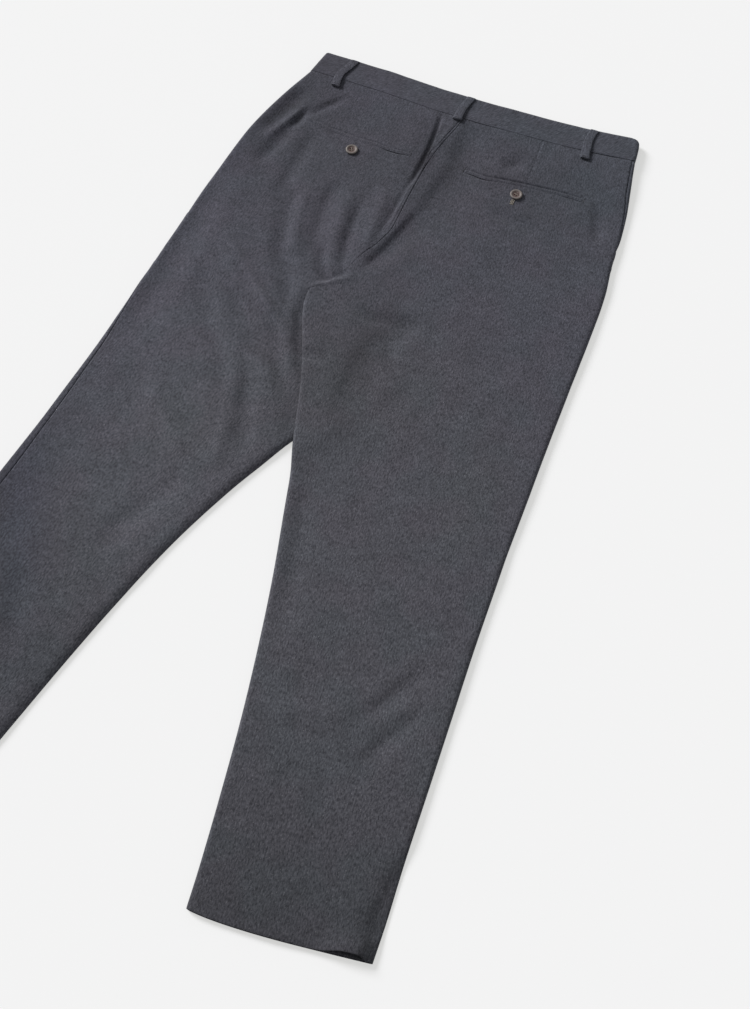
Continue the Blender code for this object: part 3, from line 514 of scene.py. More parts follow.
class Leg:
    """One leg and its half of the seat, as a flattened tube. Side is 1 for the right leg, -1 for the left."""

    def __init__(self, table, side, creases):
        self.side = side
        self.name = "right" if side > 0 else "left"
        self.first, self.last = table[0].at, table[-1].at
        self.first_rise = table[0].rise
        self.creases = SEAT_CREASES + creases
        for name in Section._fields[1:]:
            setattr(self, name, column_of(table, name))

    def y_of(self, at, x):
        """Place along the garment of a point of the cross-section that is named by its inner edge's place."""
        inner, outer = self.inner(at), self.outer(at)
        share = (x - inner) / (outer - inner)
        y = at + self.rise(at) * share - self.hem_bow(at, share)
        seam = waist_line(x) - BAND_HEIGHT - SEAM_GAP
        straight = self.first + self.first_rise * share
        return y + (seam - straight) * (1.0 - ramp(self.first - at, 0.0, SEAM_BLEND))

    def hem_bow(self, at, share):
        """The hem's edge bows down a little between its two ends."""
        fade = 1.0 - ramp(at - self.last, 0.0, HEM_BOW_REACH)
        return HEM_BOW * fade * np.sin(math.pi * np.clip(share, 0.0, 1.0) ** HEM_BOW_SKEW)

    def overlap(self, at, x):
        """1 where the two legs lie on each other, and 0 well away from it."""
        edge = self.covered(at)
        if self.side > 0:
            return 1.0 - ramp(x, edge, edge + LIFT_RAMP)
        reach = mix(PRESS_REACH, PRESS_RAMP, ramp(-at, *PRESS_WIDENS))
        return ramp(x, edge - reach, edge + PRESS_PAST_EDGE)

    def lift(self, at, x):
        """The right leg rises over the left one."""
        return LIFT * self.overlap(at, x) if self.side > 0 else 0.0 * x

    def bottom(self, at, x):
        """Height of the lower layer's outer face."""
        dents = unevenness(x, self.y_of(at, x), 71 + self.side, widest=9.0, narrowest=3.0, height=0.35)
        worn = np.clip(dents, 0.0, 1.0) * ramp(self.first - at, *DENTS_START)
        return layer_bottom(at) + self.lift(at, x) + worn

    def top(self, at, x):
        """Height of the upper layer's outer face, with its creases. It stays clear of the lower layer."""
        y = self.y_of(at, x)
        height = layer_top(at) + self.lift(at, x) - PRESS * self.overlap(at, x)
        height = height - crease_depth(self.creases, x, y) - self.inner_fall(at, x)
        calm = ramp(self.first - at, 0.0, CALM_LENGTH)
        height = height + calm * unevenness(x, y, 11, widest=9.0, narrowest=2.5, height=0.55)
        least = layer_bottom(at) + self.lift(at, x) + LEAST_GAP
        above = height - least
        return least + (above + np.sqrt(above**2 + GAP_BLEND**2)) / 2 + self.hem_lift(at, x)

    def inner_fall(self, at, x):
        """The left leg's free inner edge falls away over a wider strip than its fold."""
        if self.side > 0:
            return 0.0 * x
        return INNER_FALL * hump(x - self.inner(at), INNER_FALL_REACH) * ramp(-at, *INNER_FALL_START)

    def hem_lift(self, at, x):
        """The right leg's top layer is raised at the outer corner of its hem."""
        if self.side < 0:
            return 0.0 * x
        return HEM_LIFT * ramp(self.last + HEM_LIFT_REACH - at, 0.0, HEM_LIFT_REACH) * self.hem_gap(x)

    def hem_pull(self, at, x):
        """The raised part of the hem's edge is pulled back from the edge below it."""
        if self.side < 0:
            return 0.0 * x
        return HEM_PULL * ramp(self.last + HEM_PULL_REACH - at, 0.0, HEM_PULL_REACH) * self.hem_gap(x)

    def hem_gap(self, x):
        """1 in the middle of the raised part, and 0 at its two ends."""
        return ramp(x, *HEM_GAP_START) * (1.0 - ramp(x, *HEM_GAP_END))

    def at_edge(self, at, edge, reach, inset=0.0):
        """A point near an edge. Reach is measured along the cloth from the fold, above it when positive."""
        above = reach >= 0
        limit = np.where(above, ROLL_REACH, BOTTOM_REACH)
        angle = np.minimum(np.abs(reach) / limit, 1.0) * math.pi / 2
        radius = np.where(above, ROLL, BOTTOM_ROUND) - inset * MM_IN_CM
        beyond = np.maximum(np.abs(reach) - limit, 0.0)
        inward = inset * MM_IN_CM + radius * (1.0 - np.cos(angle)) + beyond
        turned = self.turned(at) if edge == "inner" else 1.0
        inward = mix(np.maximum(reach, 0.0) * (TOP_ROUND / TOP_REACH), inward, turned)
        fold = self.inner(at) if edge == "inner" else self.outer(at)
        x = fold + self.side * inward * (1 if edge == "inner" else -1)
        if edge == "inner":
            x = x + self.side * SEAM_GAP / 2
        low = self.bottom(at, x) + inset
        high = self.top(at, x) - inset
        middle = mix(low, high, FOLD_SHARE)
        z = mix(middle, np.where(above, high, low), np.sin(angle))
        return x, self.y_of(at, x), mix(high, z, turned)

    def seam_shift(self, at):
        """How much further over than usual the rounded part ends, where the side seam is far over."""
        return np.maximum(self.seam(at) - SEAM_LIMIT, 0.0)

    def across_top(self, at, share, inset=0.0):
        """A point of the upper layer, from the outer edge's rounded part to the inner one's."""
        outer = self.outer(at) - self.side * (TOP_ROUND + self.seam_shift(at))
        inner = self.inner(at) + self.side * (TOP_ROUND + SEAM_GAP / 2)
        x = mix(outer, inner, share)
        return x, self.y_of(at, x) + self.hem_pull(at, x), self.top(at, x) - inset

    def across_bottom(self, at, share, inset=0.0):
        """A point of the lower layer, from the outer fold to the front's inner end."""
        outer = self.outer(at) - self.side * BOTTOM_ROUND
        x = mix(outer, self.front_end(at), share)
        return x, self.y_of(at, x), self.bottom(at, x) + inset

    def front_end(self, at):
        """Where the front ends: the centre-front seam, or the inseam."""
        turn = BOTTOM_ROUND + INSEAM_REACH - BOTTOM_REACH + SEAM_GAP
        return self.front(at) + self.side * mix(SEAM_GAP / 2, turn, self.turned(at))

    def slash_reach(self, at):
        """Where the front panel ends, measured along the cloth from the outer fold."""
        seam = self.seam(at) - SEAM_GAP / 2
        mouth = mix(-SLASH_WIDTH, seam, (at - self.first) / (SLASH_END - self.first))
        return np.where(at > SLASH_END, mouth, seam)

    def height(self, x, y):
        """Height of the back's outer face at a place."""
        x, y = np.asarray(x, float), np.asarray(y, float)
        at = y.copy()
        for _ in range(5):  # closes in on the place at the inner edge
            at = at + (y - self.y_of(at, x))
        return self.top(at, x)


LEGS = {
    "left": Leg(LEFT, -1, LEFT_LEG_CREASES),
    "right": Leg(RIGHT, 1, RIGHT_LEG_CREASES),
}


def back_height(x, y):
    """Height of the garment's back at places, whichever leg shows there."""
    seam = LEGS["right"].inner(np.asarray(y, float))
    return np.where(x > seam, LEGS["right"].height(x, y), LEGS["left"].height(x, y))


def spaced(stops):
    """Places from stop to stop, about the given step apart. Each stop is a place and the step after it."""
    places = []
    for (start, step), (end, _) in zip(stops[:-1], stops[1:]):
        count = max(1, math.ceil(abs(end - start) / step - 1e-9))
        places += [mix(start, end, i / count) for i in range(count)]
    return np.array([*places, stops[-1][0]])


# --- Making meshes ---


def link_piece(name, mesh, material):
    """Puts a finished mesh in the scene as a piece."""
    made = bpy.data.objects.new(name, mesh)
    bpy.context.scene.collection.objects.link(made)
    mesh.materials.append(material)
    mesh.polygons.foreach_set("use_smooth", [True] * len(mesh.polygons))
    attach(made, BODY)
    return made


def cloth_mesh(name, places, middle_height, grain=0.0):
    """A sheet from an array of places (rows, columns, 3): x and y in centimetres, height in millimetres.

    The UV map holds the distance along the cloth in metres, so that the weave follows it.
    """
    rows, columns = places.shape[:2]
    bm = bmesh.new()
    bmesh.ops.create_grid(bm, x_segments=columns - 1, y_segments=rows - 1, size=0.5)
    mesh = bpy.data.meshes.new(name)
    bm.to_mesh(mesh)
    bm.free()
    flat = np.empty(len(mesh.vertices) * 3)
    mesh.vertices.foreach_get("co", flat)
    flat = flat.reshape(-1, 3)
    column = np.rint((flat[:, 0] + 0.5) * (columns - 1)).astype(int)
    row = np.rint((0.5 - flat[:, 1]) * (rows - 1)).astype(int)
    metres = places * (CM, CM, MM) + (*ORIGIN, 0.0)
    mesh.vertices.foreach_set("co", metres[row, column].ravel())

    steps = np.linalg.norm(np.diff(metres, axis=1), axis=2)
    across = np.concatenate([np.zeros((rows, 1)), np.cumsum(steps, axis=1)], axis=1)
    anchor = columns // 2
    tilt = math.radians(grain)
    turned_x = metres[..., 0] * math.cos(tilt) + metres[..., 1] * math.sin(tilt)
    way = np.sign(metres[rows // 2, -1, 0] - metres[rows // 2, 0, 0]) or 1.0
    u = turned_x[:, [anchor]] + way * (across - across[:, [anchor]])
    v = metres[..., 1] * math.cos(tilt) - metres[..., 0] * math.sin(tilt)
    corners = np.empty(len(mesh.loops), dtype=np.int32)
    mesh.loops.foreach_get("vertex_index", corners)
    layer = mesh.uv_layers.new(name="grain")
    uv = np.stack([u[row, column], v[row, column]], axis=1)[corners]
    layer.data.foreach_set("uv", uv.ravel())

    mesh.update()
    facing = np.empty(len(mesh.polygons) * 3)
    centre = np.empty(len(mesh.polygons) * 3)
    mesh.polygons.foreach_get("normal", facing)
    mesh.polygons.foreach_get("center", centre)
    outward = facing[2::3] * (centre[2::3] - middle_height * MM)
    if outward.sum() < 0:
        mesh.flip_normals()
    return mesh


def grid_of(columns):
    """An array of places from columns of x, y and z."""
    return np.stack([np.stack(column, axis=-1) for column in columns], axis=1)


def thicken(made, thickness):
    """Gives a sheet its thickness on the inside."""
    solid = made.modifiers.new("thickness", "SOLIDIFY")
    solid.thickness = thickness
    solid.offset = -1.0
    solid.use_rim = True


def sizes():
    """The sizes that the panel shows."""
    return bpy.context.scene.chinos_sizes


def colours():
    """The colours that the panel shows."""
    return bpy.context.scene.chinos_colours


# --- Materials ---


def add_node(tree, kind, inputs=None, **settings):
    """Adds a shader node. An input is a value, or another node's output to link from."""
    made = tree.nodes.new("ShaderNode" + kind)
    for key, value in settings.items():
        setattr(made, key, value)
    for key, value in (inputs or {}).items():
        if isinstance(value, bpy.types.NodeSocket):
            tree.links.new(value, made.inputs[key])
        else:
            made.inputs[key].default_value = value
    return made


def arithmetic(tree, operation, *values):
    """The result of a sum on values, or on other nodes' outputs."""
    return add_node(tree, "Math", dict(enumerate(values)), operation=operation).outputs[0]


def noise(tree, coordinates, scale, detail=2.0, turn=0.0):
    """Noise whose grains measure scale = (across, along) in metres."""
    placed = add_node(
        tree,
        "Mapping",
        {
            "Vector": coordinates,
            "Scale": (1.0 / scale[0], 1.0 / scale[1], 1.0 / scale[-1]),
            "Rotation": (0.0, 0.0, turn),
        },
    )
    inputs = {"Vector": placed.outputs[0], "Scale": 1.0, "Detail": detail}
    return add_node(tree, "TexNoise", inputs).outputs["Fac"]


def spread_out(tree, value, low, high, to_low=0.0, to_high=1.0):
    """A value's range stretched to another one, and cut off at its ends."""
    inputs = {"Value": value, "From Min": low, "From Max": high, "To Min": to_low, "To Max": to_high}
    return add_node(tree, "MapRange", inputs, clamp=True).outputs[0]


def blend_colours(tree, share, first, second, kind="MIX"):
    """Two colours mixed or multiplied, each a value or another node's output."""
    made = add_node(tree, "Mix", data_type="RGBA", blend_type=kind)
    for index, value in ((0, share), (6, first), (7, second)):
        if isinstance(value, bpy.types.NodeSocket):
            tree.links.new(value, made.inputs[index])
        else:
            made.inputs[index].default_value = value if index == 0 else (*value, 1.0)
    return made.outputs[2]


def new_shader(name):
    """A new material, its node tree and its shader node."""
    material = bpy.data.materials.new(name)
    material.use_nodes = True
    tree = material.node_tree
    return material, tree, tree.nodes["Principled BSDF"]


# Painted shade and painted light on the cloth: spots a little darker or lighter that stand in for the shading
# of its folds, the shade inside the tuck and along the fold edges, and the uneven fall of light over the
# garment. Each has a place and its reach across and along, in centimetres, the degrees that it leans, and how
# much lighter it is there.
Tone = namedtuple("Tone", "x y wide long lean lighter")
PAINTED_SHADE_AND_LIGHT = rows_of(Tone, [
    (-18, -48, 10, 14, 0, 0.18),
    (-10, -64, 6, 12, 0, 0.20),
    (-20, -66, 8, 10, 0, 0.12),
    (10, -60, 8, 20, 0, 0.08),
    (20, -60, 5, 25, 0, 0.05),
    (10, -12, 12, 8, 0, -0.16),
    (-8, -14, 12, 9, 0, -0.09),
    (0, -1, 22, 2.5, 0, -0.07),
    (-23, -8, 8, 12, 0, -0.24),
    (-0.5, -41, 5, 8, 0, -0.08),
    (1.3, -42.5, 1.9, 7, 0, -0.17),
    (-2.62, -10.8, 0.42, 4.8, 0, -0.38),
    (3.6, -35.2, 3.0, 1.4, 0, -0.18),
    (1.2, -11.5, 1.3, 5, 0, -0.12),
    (0.3, -25.5, 1.6, 6.5, -22, -0.17),
    (-21.6, -10.9, 0.8, 4, -27, -0.18),
    (-20.2, -13.3, 0.6, 2.4, -27, 0.14),
    (-21.8, -17.3, 1.6, 2.6, -20, -0.11),
    (-17.0, -7.6, 0.4, 1.8, -45, -0.18),
    (-16.3, -8.1, 0.3, 1.6, -45, 0.13),
    (-15.4, -36.7, 0.35, 4.5, 60, 0.13),
    (-16.1, -38.0, 0.35, 3.2, 60, 0.12),
    (-8, -45.5, 0.55, 3.8, 41, -0.17),
    (-9.7, -46.9, 0.9, 3.5, 41, 0.13),
    (-6.8, -44.5, 0.6, 3, 41, 0.07),
    (-31, -84, 8, 18, 0, -0.36),
    (-27.4, -61, 0.6, 15, -5.5, -0.22),
    (-25.8, -62.5, 0.8, 9, -7, -0.10),
    (-23.5, -75.5, 2.6, 15, 27, -0.03),
    (-16.5, -87, 4.5, 6, 27, -0.09),
    (18, -106, 15, 14, 0, -0.29),
    (27.5, -100, 3, 8, 0, -0.18),
])
# Slow changes of its hue, in the same way: a place, its reach and lean, and the tint there.
Cast = namedtuple("Cast", "x y wide long lean colour")
CASTS = rows_of(Cast, [
    (21, -7, 9, 11, 0, (0.91, 1.0, 0.995)),
    (6, -2.5, 13, 4.5, 0, (0.935, 1.0, 1.005)),
    (-14, -4, 7, 5, 0, (1.0, 1.0, 1.035)),
    (-24.5, -73, 3.2, 16, 27, (0.945, 0.975, 1.06)),
    (11.5, -62, 7, 8, 0, (1.05, 1.0, 1.0)),
    (-12.5, -57.5, 6, 6, 0, (0.98, 1.0, 0.965)),
    (19.5, -53, 4, 8, 0, (0.98, 1.0, 0.96)),
    (-31, -55, 9, 30, 0, (0.975, 0.965, 1.02)),
    (-27, -14, 6, 12, 0, (0.95, 0.96, 1.02)),
    (2, -44, 14, 11, 15, (1.01, 1.01, 0.955)),
])


def nearness(tree, place, spot):
    """1 at the middle of a spot, and nearly 0 at two of its reaches."""
    inputs = {
        "Vector": place,
        "Location": (spot.x * CM + ORIGIN[0], spot.y * CM + ORIGIN[1], 0.0),
        "Rotation": (0.0, 0.0, math.radians(spot.lean)),
        "Scale": (spot.wide * CM, spot.long * CM, 1.0),
    }
    near = add_node(tree, "Mapping", inputs, vector_type="TEXTURE").outputs[0]
    square = add_node(tree, "VectorMath", {0: near, 1: near}, operation="DOT_PRODUCT").outputs["Value"]
    return arithmetic(tree, "EXPONENT", arithmetic(tree, "MULTIPLY", square, -1.0))


def painted_shade_and_light(tree, place):
    """The sum of the painted shade and light spots, around 1."""
    total = 1.0
    for tone in PAINTED_SHADE_AND_LIGHT:
        total = arithmetic(tree, "MULTIPLY_ADD", nearness(tree, place, tone), tone.lighter, total)
    return total


def slow_cast(tree, place, tint):
    """A tint with the slow changes of hue."""
    for cast in CASTS:
        there = blend_colours(tree, 1.0, tint, cast.colour, "MULTIPLY")
        tint = blend_colours(tree, nearness(tree, place, cast), tint, there)
    return tint


def heather_twill(name):
    """Charcoal melange twill: mixed light and dark fibres along the grain, and a fine diagonal rib."""
    look = colours()
    material, tree, shader = new_shader(name)
    grain = add_node(tree, "UVMap", uv_map="grain").outputs[0]
    place = add_node(tree, "TexCoord").outputs["Object"]

    fibres = noise(tree, grain, (0.0014, 0.0034))
    slubs = noise(tree, grain, (0.0019, 0.0095), detail=1.0)
    specks = noise(tree, grain, (0.0012, 0.0018), detail=1.0)
    blotches = noise(tree, place, (0.012, 0.012, 0.012))
    patches = noise(tree, place, (0.055, 0.055, 0.055), detail=1.0)
    streaks = noise(tree, grain, (0.0024, 0.060), detail=1.0)

    fibre_mix = arithmetic(tree, "MULTIPLY_ADD", slubs, 0.3, arithmetic(tree, "MULTIPLY", fibres, 0.7))
    light_share = spread_out(tree, fibre_mix, 0.36, 0.64)
    yarn = blend_colours(tree, light_share, look.dark_fibre, look.light_fibre)
    fleck = spread_out(tree, specks, 0.62, 0.80, 0.0, 0.55)
    yarn = blend_colours(tree, fleck, yarn, look.fleck)

    tone = spread_out(tree, blotches, 0.3, 0.7, 0.90, 1.10)
    # The tone takes on the painted shade and painted light here.
    tone = arithmetic(tree, "MULTIPLY", tone, painted_shade_and_light(tree, place))
    tone = arithmetic(tree, "MULTIPLY", tone, spread_out(tree, streaks, 0.3, 0.7, 0.965, 1.035))
    toned = add_node(tree, "VectorMath", {0: yarn}, operation="SCALE")
    tree.links.new(tone, toned.inputs["Scale"])
    cool = spread_out(tree, patches, 0.40, 0.60)
    tint = blend_colours(tree, cool, look.warm_cast, look.cool_cast)
    along = add_node(tree, "SeparateXYZ", {"Vector": place}).outputs["Y"]
    lower = spread_out(tree, along, ORIGIN[1] - 0.30, ORIGIN[1] - 0.75)
    down_cast = blend_colours(tree, lower, look.seat_cast, look.shin_cast)
    tint = blend_colours(tree, 1.0, tint, down_cast, "MULTIPLY")
    cloth = blend_colours(tree, 1.0, toned.outputs[0], slow_cast(tree, place, tint), "MULTIPLY")
    tree.links.new(cloth, shader.inputs["Base Color"])

    rib_place = add_node(tree, "Mapping", {"Vector": grain, "Rotation": (0.0, 0.0, math.radians(27.0))})
    rib_inputs = {"Vector": rib_place.outputs[0], "Scale": 350.0, "Distortion": 0.6, "Detail": 1.0}
    rib = add_node(tree, "TexWave", rib_inputs, wave_type="BANDS", bands_direction="X").outputs["Fac"]
    relief = arithmetic(tree, "MULTIPLY_ADD", rib, 0.35, fibres)
    relief = arithmetic(tree, "MULTIPLY_ADD", specks, 0.5, relief)
    bump = add_node(tree, "Bump", {"Strength": 0.45, "Distance": 0.00035, "Height": relief})
    tree.links.new(bump.outputs[0], shader.inputs["Normal"])

    shader.inputs["Roughness"].default_value = 0.95
    shader.inputs["Specular IOR Level"].default_value = 0.25
    shader.inputs["Sheen Weight"].default_value = 0.06
    shader.inputs["Sheen Roughness"].default_value = 0.6
    return material


def sewing_thread(name, colour):
    """Twisted thread, with painted shade in the gaps between its strands."""
    material, tree, shader = new_shader(name)
    place = add_node(tree, "TexCoord").outputs["Object"]
    strands = noise(tree, place, (0.0006, 0.0006, 0.0006))
    share = spread_out(tree, strands, 0.3, 0.7)
    # Painted shade: where the strands' relief is low, in the gaps, the colour is darker.
    darker = tuple(part * 0.6 for part in colour)
    tree.links.new(blend_colours(tree, share, darker, colour), shader.inputs["Base Color"])
    bump = add_node(tree, "Bump", {"Strength": 0.4, "Distance": 0.0001, "Height": strands})
    tree.links.new(bump.outputs[0], shader.inputs["Normal"])
    shader.inputs["Roughness"].default_value = 0.7
    shader.inputs["Sheen Weight"].default_value = 0.1
    return material


def horn(name):
    """Polished corozo: a pale tan rim, a brown middle, and fine streaks. UV is the place from the middle."""
    look = colours()
    material, tree, shader = new_shader(name)
    grain = add_node(tree, "UVMap", uv_map="grain").outputs[0]
    place = add_node(tree, "TexCoord").outputs["Object"]
    radius = add_node(tree, "VectorMath", {0: grain}, operation="LENGTH").outputs["Value"]
    streaks = noise(tree, grain, (0.0012, 0.006), detail=3.0, turn=0.6)
    mottle = noise(tree, place, (0.003, 0.003, 0.003))
    edge = arithmetic(tree, "MULTIPLY_ADD", mottle, 0.0016, radius)
    rim = spread_out(tree, edge, 0.0046, 0.0064)
    body = blend_colours(tree, spread_out(tree, streaks, 0.35, 0.65), look.horn_dark, look.horn_middle)
    tree.links.new(blend_colours(tree, rim, body, look.horn_rim), shader.inputs["Base Color"])
    shader.inputs["Roughness"].default_value = 0.6
    bump = add_node(tree, "Bump", {"Strength": 0.1, "Distance": 0.0002, "Height": streaks})
    tree.links.new(bump.outputs[0], shader.inputs["Normal"])
    return material


def plain_surface(name, colour, glow):
    """A pale matt surface, partly lit from within, so that shadows on it stay light."""
    material, tree, shader = new_shader(name)
    # The glow is a little warm and the surface's own colour a little blue, so the surface looks even in full
    # light and its shadows get a painted warm tint.
    shader.inputs["Emission Color"].default_value = (1.0, 1.0, 0.972, 1.0)
    shader.inputs["Emission Strength"].default_value = glow
    place = add_node(tree, "TexCoord").outputs["Object"]
    tooth = noise(tree, place, (0.004, 0.004, 0.004))
    bump = add_node(tree, "Bump", {"Strength": 0.03, "Distance": 0.0003, "Height": tooth})
    tree.links.new(bump.outputs[0], shader.inputs["Normal"])
    shader.inputs["Base Color"].default_value = (*colour, 1.0)
    shader.inputs["Roughness"].default_value = 0.9
    shader.inputs["Specular IOR Level"].default_value = 0.1
    return material


def shared_material(name, make, *arguments):
    """The material of this name, made at its first use."""
    return bpy.data.materials.get(name) or make(name, *arguments)


def cloth_material():
    """The twill of every cloth piece."""
    return shared_material("heather_twill", heather_twill)


# --- Cloth pieces ---

EDGE_STRIP = 0.012  # share of the front's width that the narrow strip along its outer edge takes
FRONT_COLUMNS = 34
BACK_STEP = {"left": 0.0042, "right": 0.008}  # from column to column beside the centre-back seam, as a share
BACK_OUTER_SHARES = (0.0, 0.05, 0.11, 0.2, 0.35, 0.5, 0.67, 0.84)  # of the way from side seam to fold
CENTRE_BACK_FADE = (-30.0, -26.5)
SECOND_DIP = 0.45
SECOND_DIP_PLACE = 0.28  # from the centre-back seam
LEG_GRAIN = {"left": -7.5, "right": 5.5}  # degrees that the cloth's grain leans, down the leg


def leg_rows(leg, fine):
    """Places along a leg: close together at the waistband, the pocket mouths and the hem."""
    seat, mouth, shank = (0.26, 0.12, 0.44) if fine else (0.8, 0.8, 1.2)
    roll = 0.04 if fine else 0.2
    return spaced(
        [
            (leg.first, roll),
            (leg.first - 0.2, seat / 2),
            (leg.first - 0.9, seat),
            (-10.0, mouth),
            (-12.4, seat),
            (-60.0, shank),
            (leg.last + 3.6, seat),
            (leg.last + 0.25, roll),
            (leg.last, roll),
        ]
    )


def seam_wobble(x):
    """Uneven strength of the waistband seam along it, strongest at the right hip."""
    waves = unevenness(x, 0.0 * x, 17, widest=7.0, narrowest=1.2, height=0.28)
    return np.clip(with_spots(BAND_SEAM_STRENGTH, BAND_SEAM_SPOTS, x) + waves, 0.1, 1.8)


def seam_roll(distance, depth, width):
    """How far a cloth edge turns down at a seam."""
    return depth * hump(np.maximum(distance, 0.0), width)


def back_panel(leg):
    """Top layer: from the side seam over the top to the centre-back seam or round the inner fold."""
    at = leg_rows(leg, fine=True)
    dense = BACK_STEP[leg.name]
    top_shares = spaced(
        [(0.0, 0.0145), (0.51, 0.0045), (0.545, 0.011), (0.78, 0.0075), (0.91, dense), (1.0, dense)]
    )
    inner_shares = spaced([(0.0, 0.08), (0.6, 0.05), (0.9, 0.025), (1.0, 0.025)])[1:]
    columns = []
    hem_edge = HEM_ROLL * hump(at - leg.last, 0.1)
    top_edge = seam_roll(leg.first - at, depth=0.35, width=0.05) + 0.25 * hump(leg.first - at, 0.5)
    for share in BACK_OUTER_SHARES:
        seam = leg.seam(at) + SEAM_GAP / 2
        reach = mix(seam, TOP_REACH + leg.seam_shift(at), share)
        x, y, z = leg.at_edge(at, "outer", reach)
        z = z - seam_roll(reach - seam, depth=0.5, width=0.07)
        columns.append((x, y, z))
    for share in top_shares:
        columns.append(leg.across_top(at, share))
    turned = leg.turned(at)
    for share in inner_shares:
        reach = mix(TOP_REACH, -INSEAM_REACH * turned, share)
        x, y, z = leg.at_edge(at, "inner", reach)
        from_seam = np.maximum(reach, 0.0) * TOP_ROUND / TOP_REACH
        columns.append((x, y, z - centre_back_groove(leg, at, from_seam) * (1.0 - turned)))
    places = grid_of(columns)
    upper = ramp(places[..., 2], 0.5, 2.5)
    places[..., 2] -= hem_edge[:, None] * upper + top_edge[:, None] * seam_wobble(places[..., 0])
    places[..., 2] -= dart_groove(leg, places)
    places[..., 2] -= mouth_groove(leg, places)
    if leg.side < 0:
        places[..., 0] -= tuck_lap(places)
    return places


def centre_back_groove(leg, at, from_seam):
    """How far the cloth dips beside the centre-back seam. The dip fades towards the crotch."""
    faint = 1.0 - 0.6 * hump(at + 12.0, 3.0)
    fading = 0.1 + 0.9 * ramp(at, *CENTRE_BACK_FADE)
    groove = seam_roll(from_seam, depth=0.5, width=0.05) * fading * faint
    if leg.side < 0:  # a second, narrow dip runs along the left side
        groove = groove + SECOND_DIP * hump(from_seam - SECOND_DIP_PLACE, 0.055) * ramp(at, -23.5, -21.5)
    return groove


def tuck_lap(places):
    """The cloth by the centre-back seam laps a little over the tuck beside it."""
    x, y = places[..., 0], places[..., 1]
    tuck = SEAT_CREASES[0]
    along = (y - tuck.y0) / (tuck.y1 - tuck.y0)
    middle = mix(tuck.x0, tuck.x1, along) + tuck.bow * 4 * along * (1 - along)
    ends = TUCK_LAP * ramp(along, 0.0, 0.35) * ramp(1 - along, 0.1, 0.5)
    return ends * hump(x - middle - TUCK_LAP_PLACE, 0.15)


def dart_groove(leg, places):
    """The back dart, a faint seam from the waistband down to the pocket mouth."""
    x, y = places[..., 0], places[..., 1]
    dart = DARTS[leg.name]
    line = mix(dart.x0, dart.x1, (dart.y0 - y) / (dart.y0 - dart.y1))
    inside = ramp(y, dart.y1, dart.y1 + 0.4) * (1.0 - ramp(y, dart.y0 - 0.1, dart.y0 + 0.2))
    return dart.depth * inside * (hump(x - line, 0.10) - 0.4 * hump(x - line - 0.25 * leg.side, 0.2))


def mouth_line(side):
    """The upper edge of a back pocket's mouth."""
    points = MOUTHS[side]
    return SmoothLine([p.x for p in points], [p.y for p in points])


def mouth_groove(leg, places):
    """The panel dips into the back pocket's mouth, along the upper edge of the jet."""
    x, y = places[..., 0], places[..., 1]
    points = MOUTHS[leg.name]
    inner, outer = points[0].x * leg.side, points[-1].x * leg.side
    begun = ramp(x * leg.side, inner - 0.15, inner + 0.25)
    inside = begun * (1.0 - ramp(x * leg.side, outer - 0.6, outer + 0.1))
    deep = with_spots(MOUTH_STRENGTH[leg.name], MOUTH_SPOTS[leg.name], x)
    line = mouth_line(leg.name)(x)
    upper = (1.0 + 1.1 * hump(x - 9.5, 4.0)) * hump(y - line, np.where(y > line, 0.15, 0.07))
    ends = 1.35 * hump(x - points[0].x - 2.2 * leg.side, 1.5) + 0.35 * hump(x - points[-1].x, 3.2)
    lower = (0.05 + ends) * hump(y - line + JET_HEIGHT + 0.05, 0.09)
    return deep * inside * (upper + lower)


def front_panel(leg):
    """Bottom layer: from the side seam round the outer fold to the centre-front seam or the inseam."""
    at = leg_rows(leg, fine=False)
    columns = []
    mouth = leg.slash_reach(at)
    wide = np.abs(leg.outer(at) - leg.front_end(at)) - BOTTOM_ROUND
    for share in spaced([(0.0, 0.04), (0.12, 0.1), (1.0, 0.1)]):
        reach = mix(mouth, -BOTTOM_REACH, share)
        near = leg.at_edge(at, "outer", reach)
        start = np.maximum(-mouth - BOTTOM_REACH, 0.0) / wide
        flat = leg.across_bottom(at, mix(start, start + EDGE_STRIP, share))
        slashed = mouth < -BOTTOM_REACH
        x, y, z = (np.where(slashed, b, a) for a, b in zip(near, flat))
        z = z - seam_roll(mouth - reach, depth=0.8, width=0.07) * np.where(mouth > 0.1, 1.0, 0.0)
        columns.append((x, y, z))
    distances = np.linspace(1.0, 0.0, FRONT_COLUMNS)[1:]
    start = 1.0 - np.maximum(-mouth - BOTTOM_REACH, 0.0) / wide - EDGE_STRIP
    for distance in distances:
        columns.append(leg.across_bottom(at, 1.0 - np.clip(distance * start, 0.0, 1.0)))
    return grid_of(columns)


def pocket_facing(leg):
    """A strip behind the slant mouth, which shows between the front's edge and the side seam."""
    rows = spaced([(leg.first, 0.5), (SLASH_END + 0.1, 0.5)])
    inset = sizes().cloth / MM + PLY_GAP
    mouth, seam = leg.slash_reach(rows), leg.seam(rows)
    columns = []
    for share in np.linspace(0.0, 1.0, 40):
        reach = mix(mouth - FACING_UNDERLAP, seam + FACING_PAST_SEAM, share)
        shown = ramp(reach, mouth + 0.15, mouth + 0.7) * (1.0 - ramp(reach, seam - 0.22, seam - 0.03))
        columns.append(leg.at_edge(rows, "outer", reach, inset * (1.0 - 0.9 * shown)))
    return grid_of(columns)


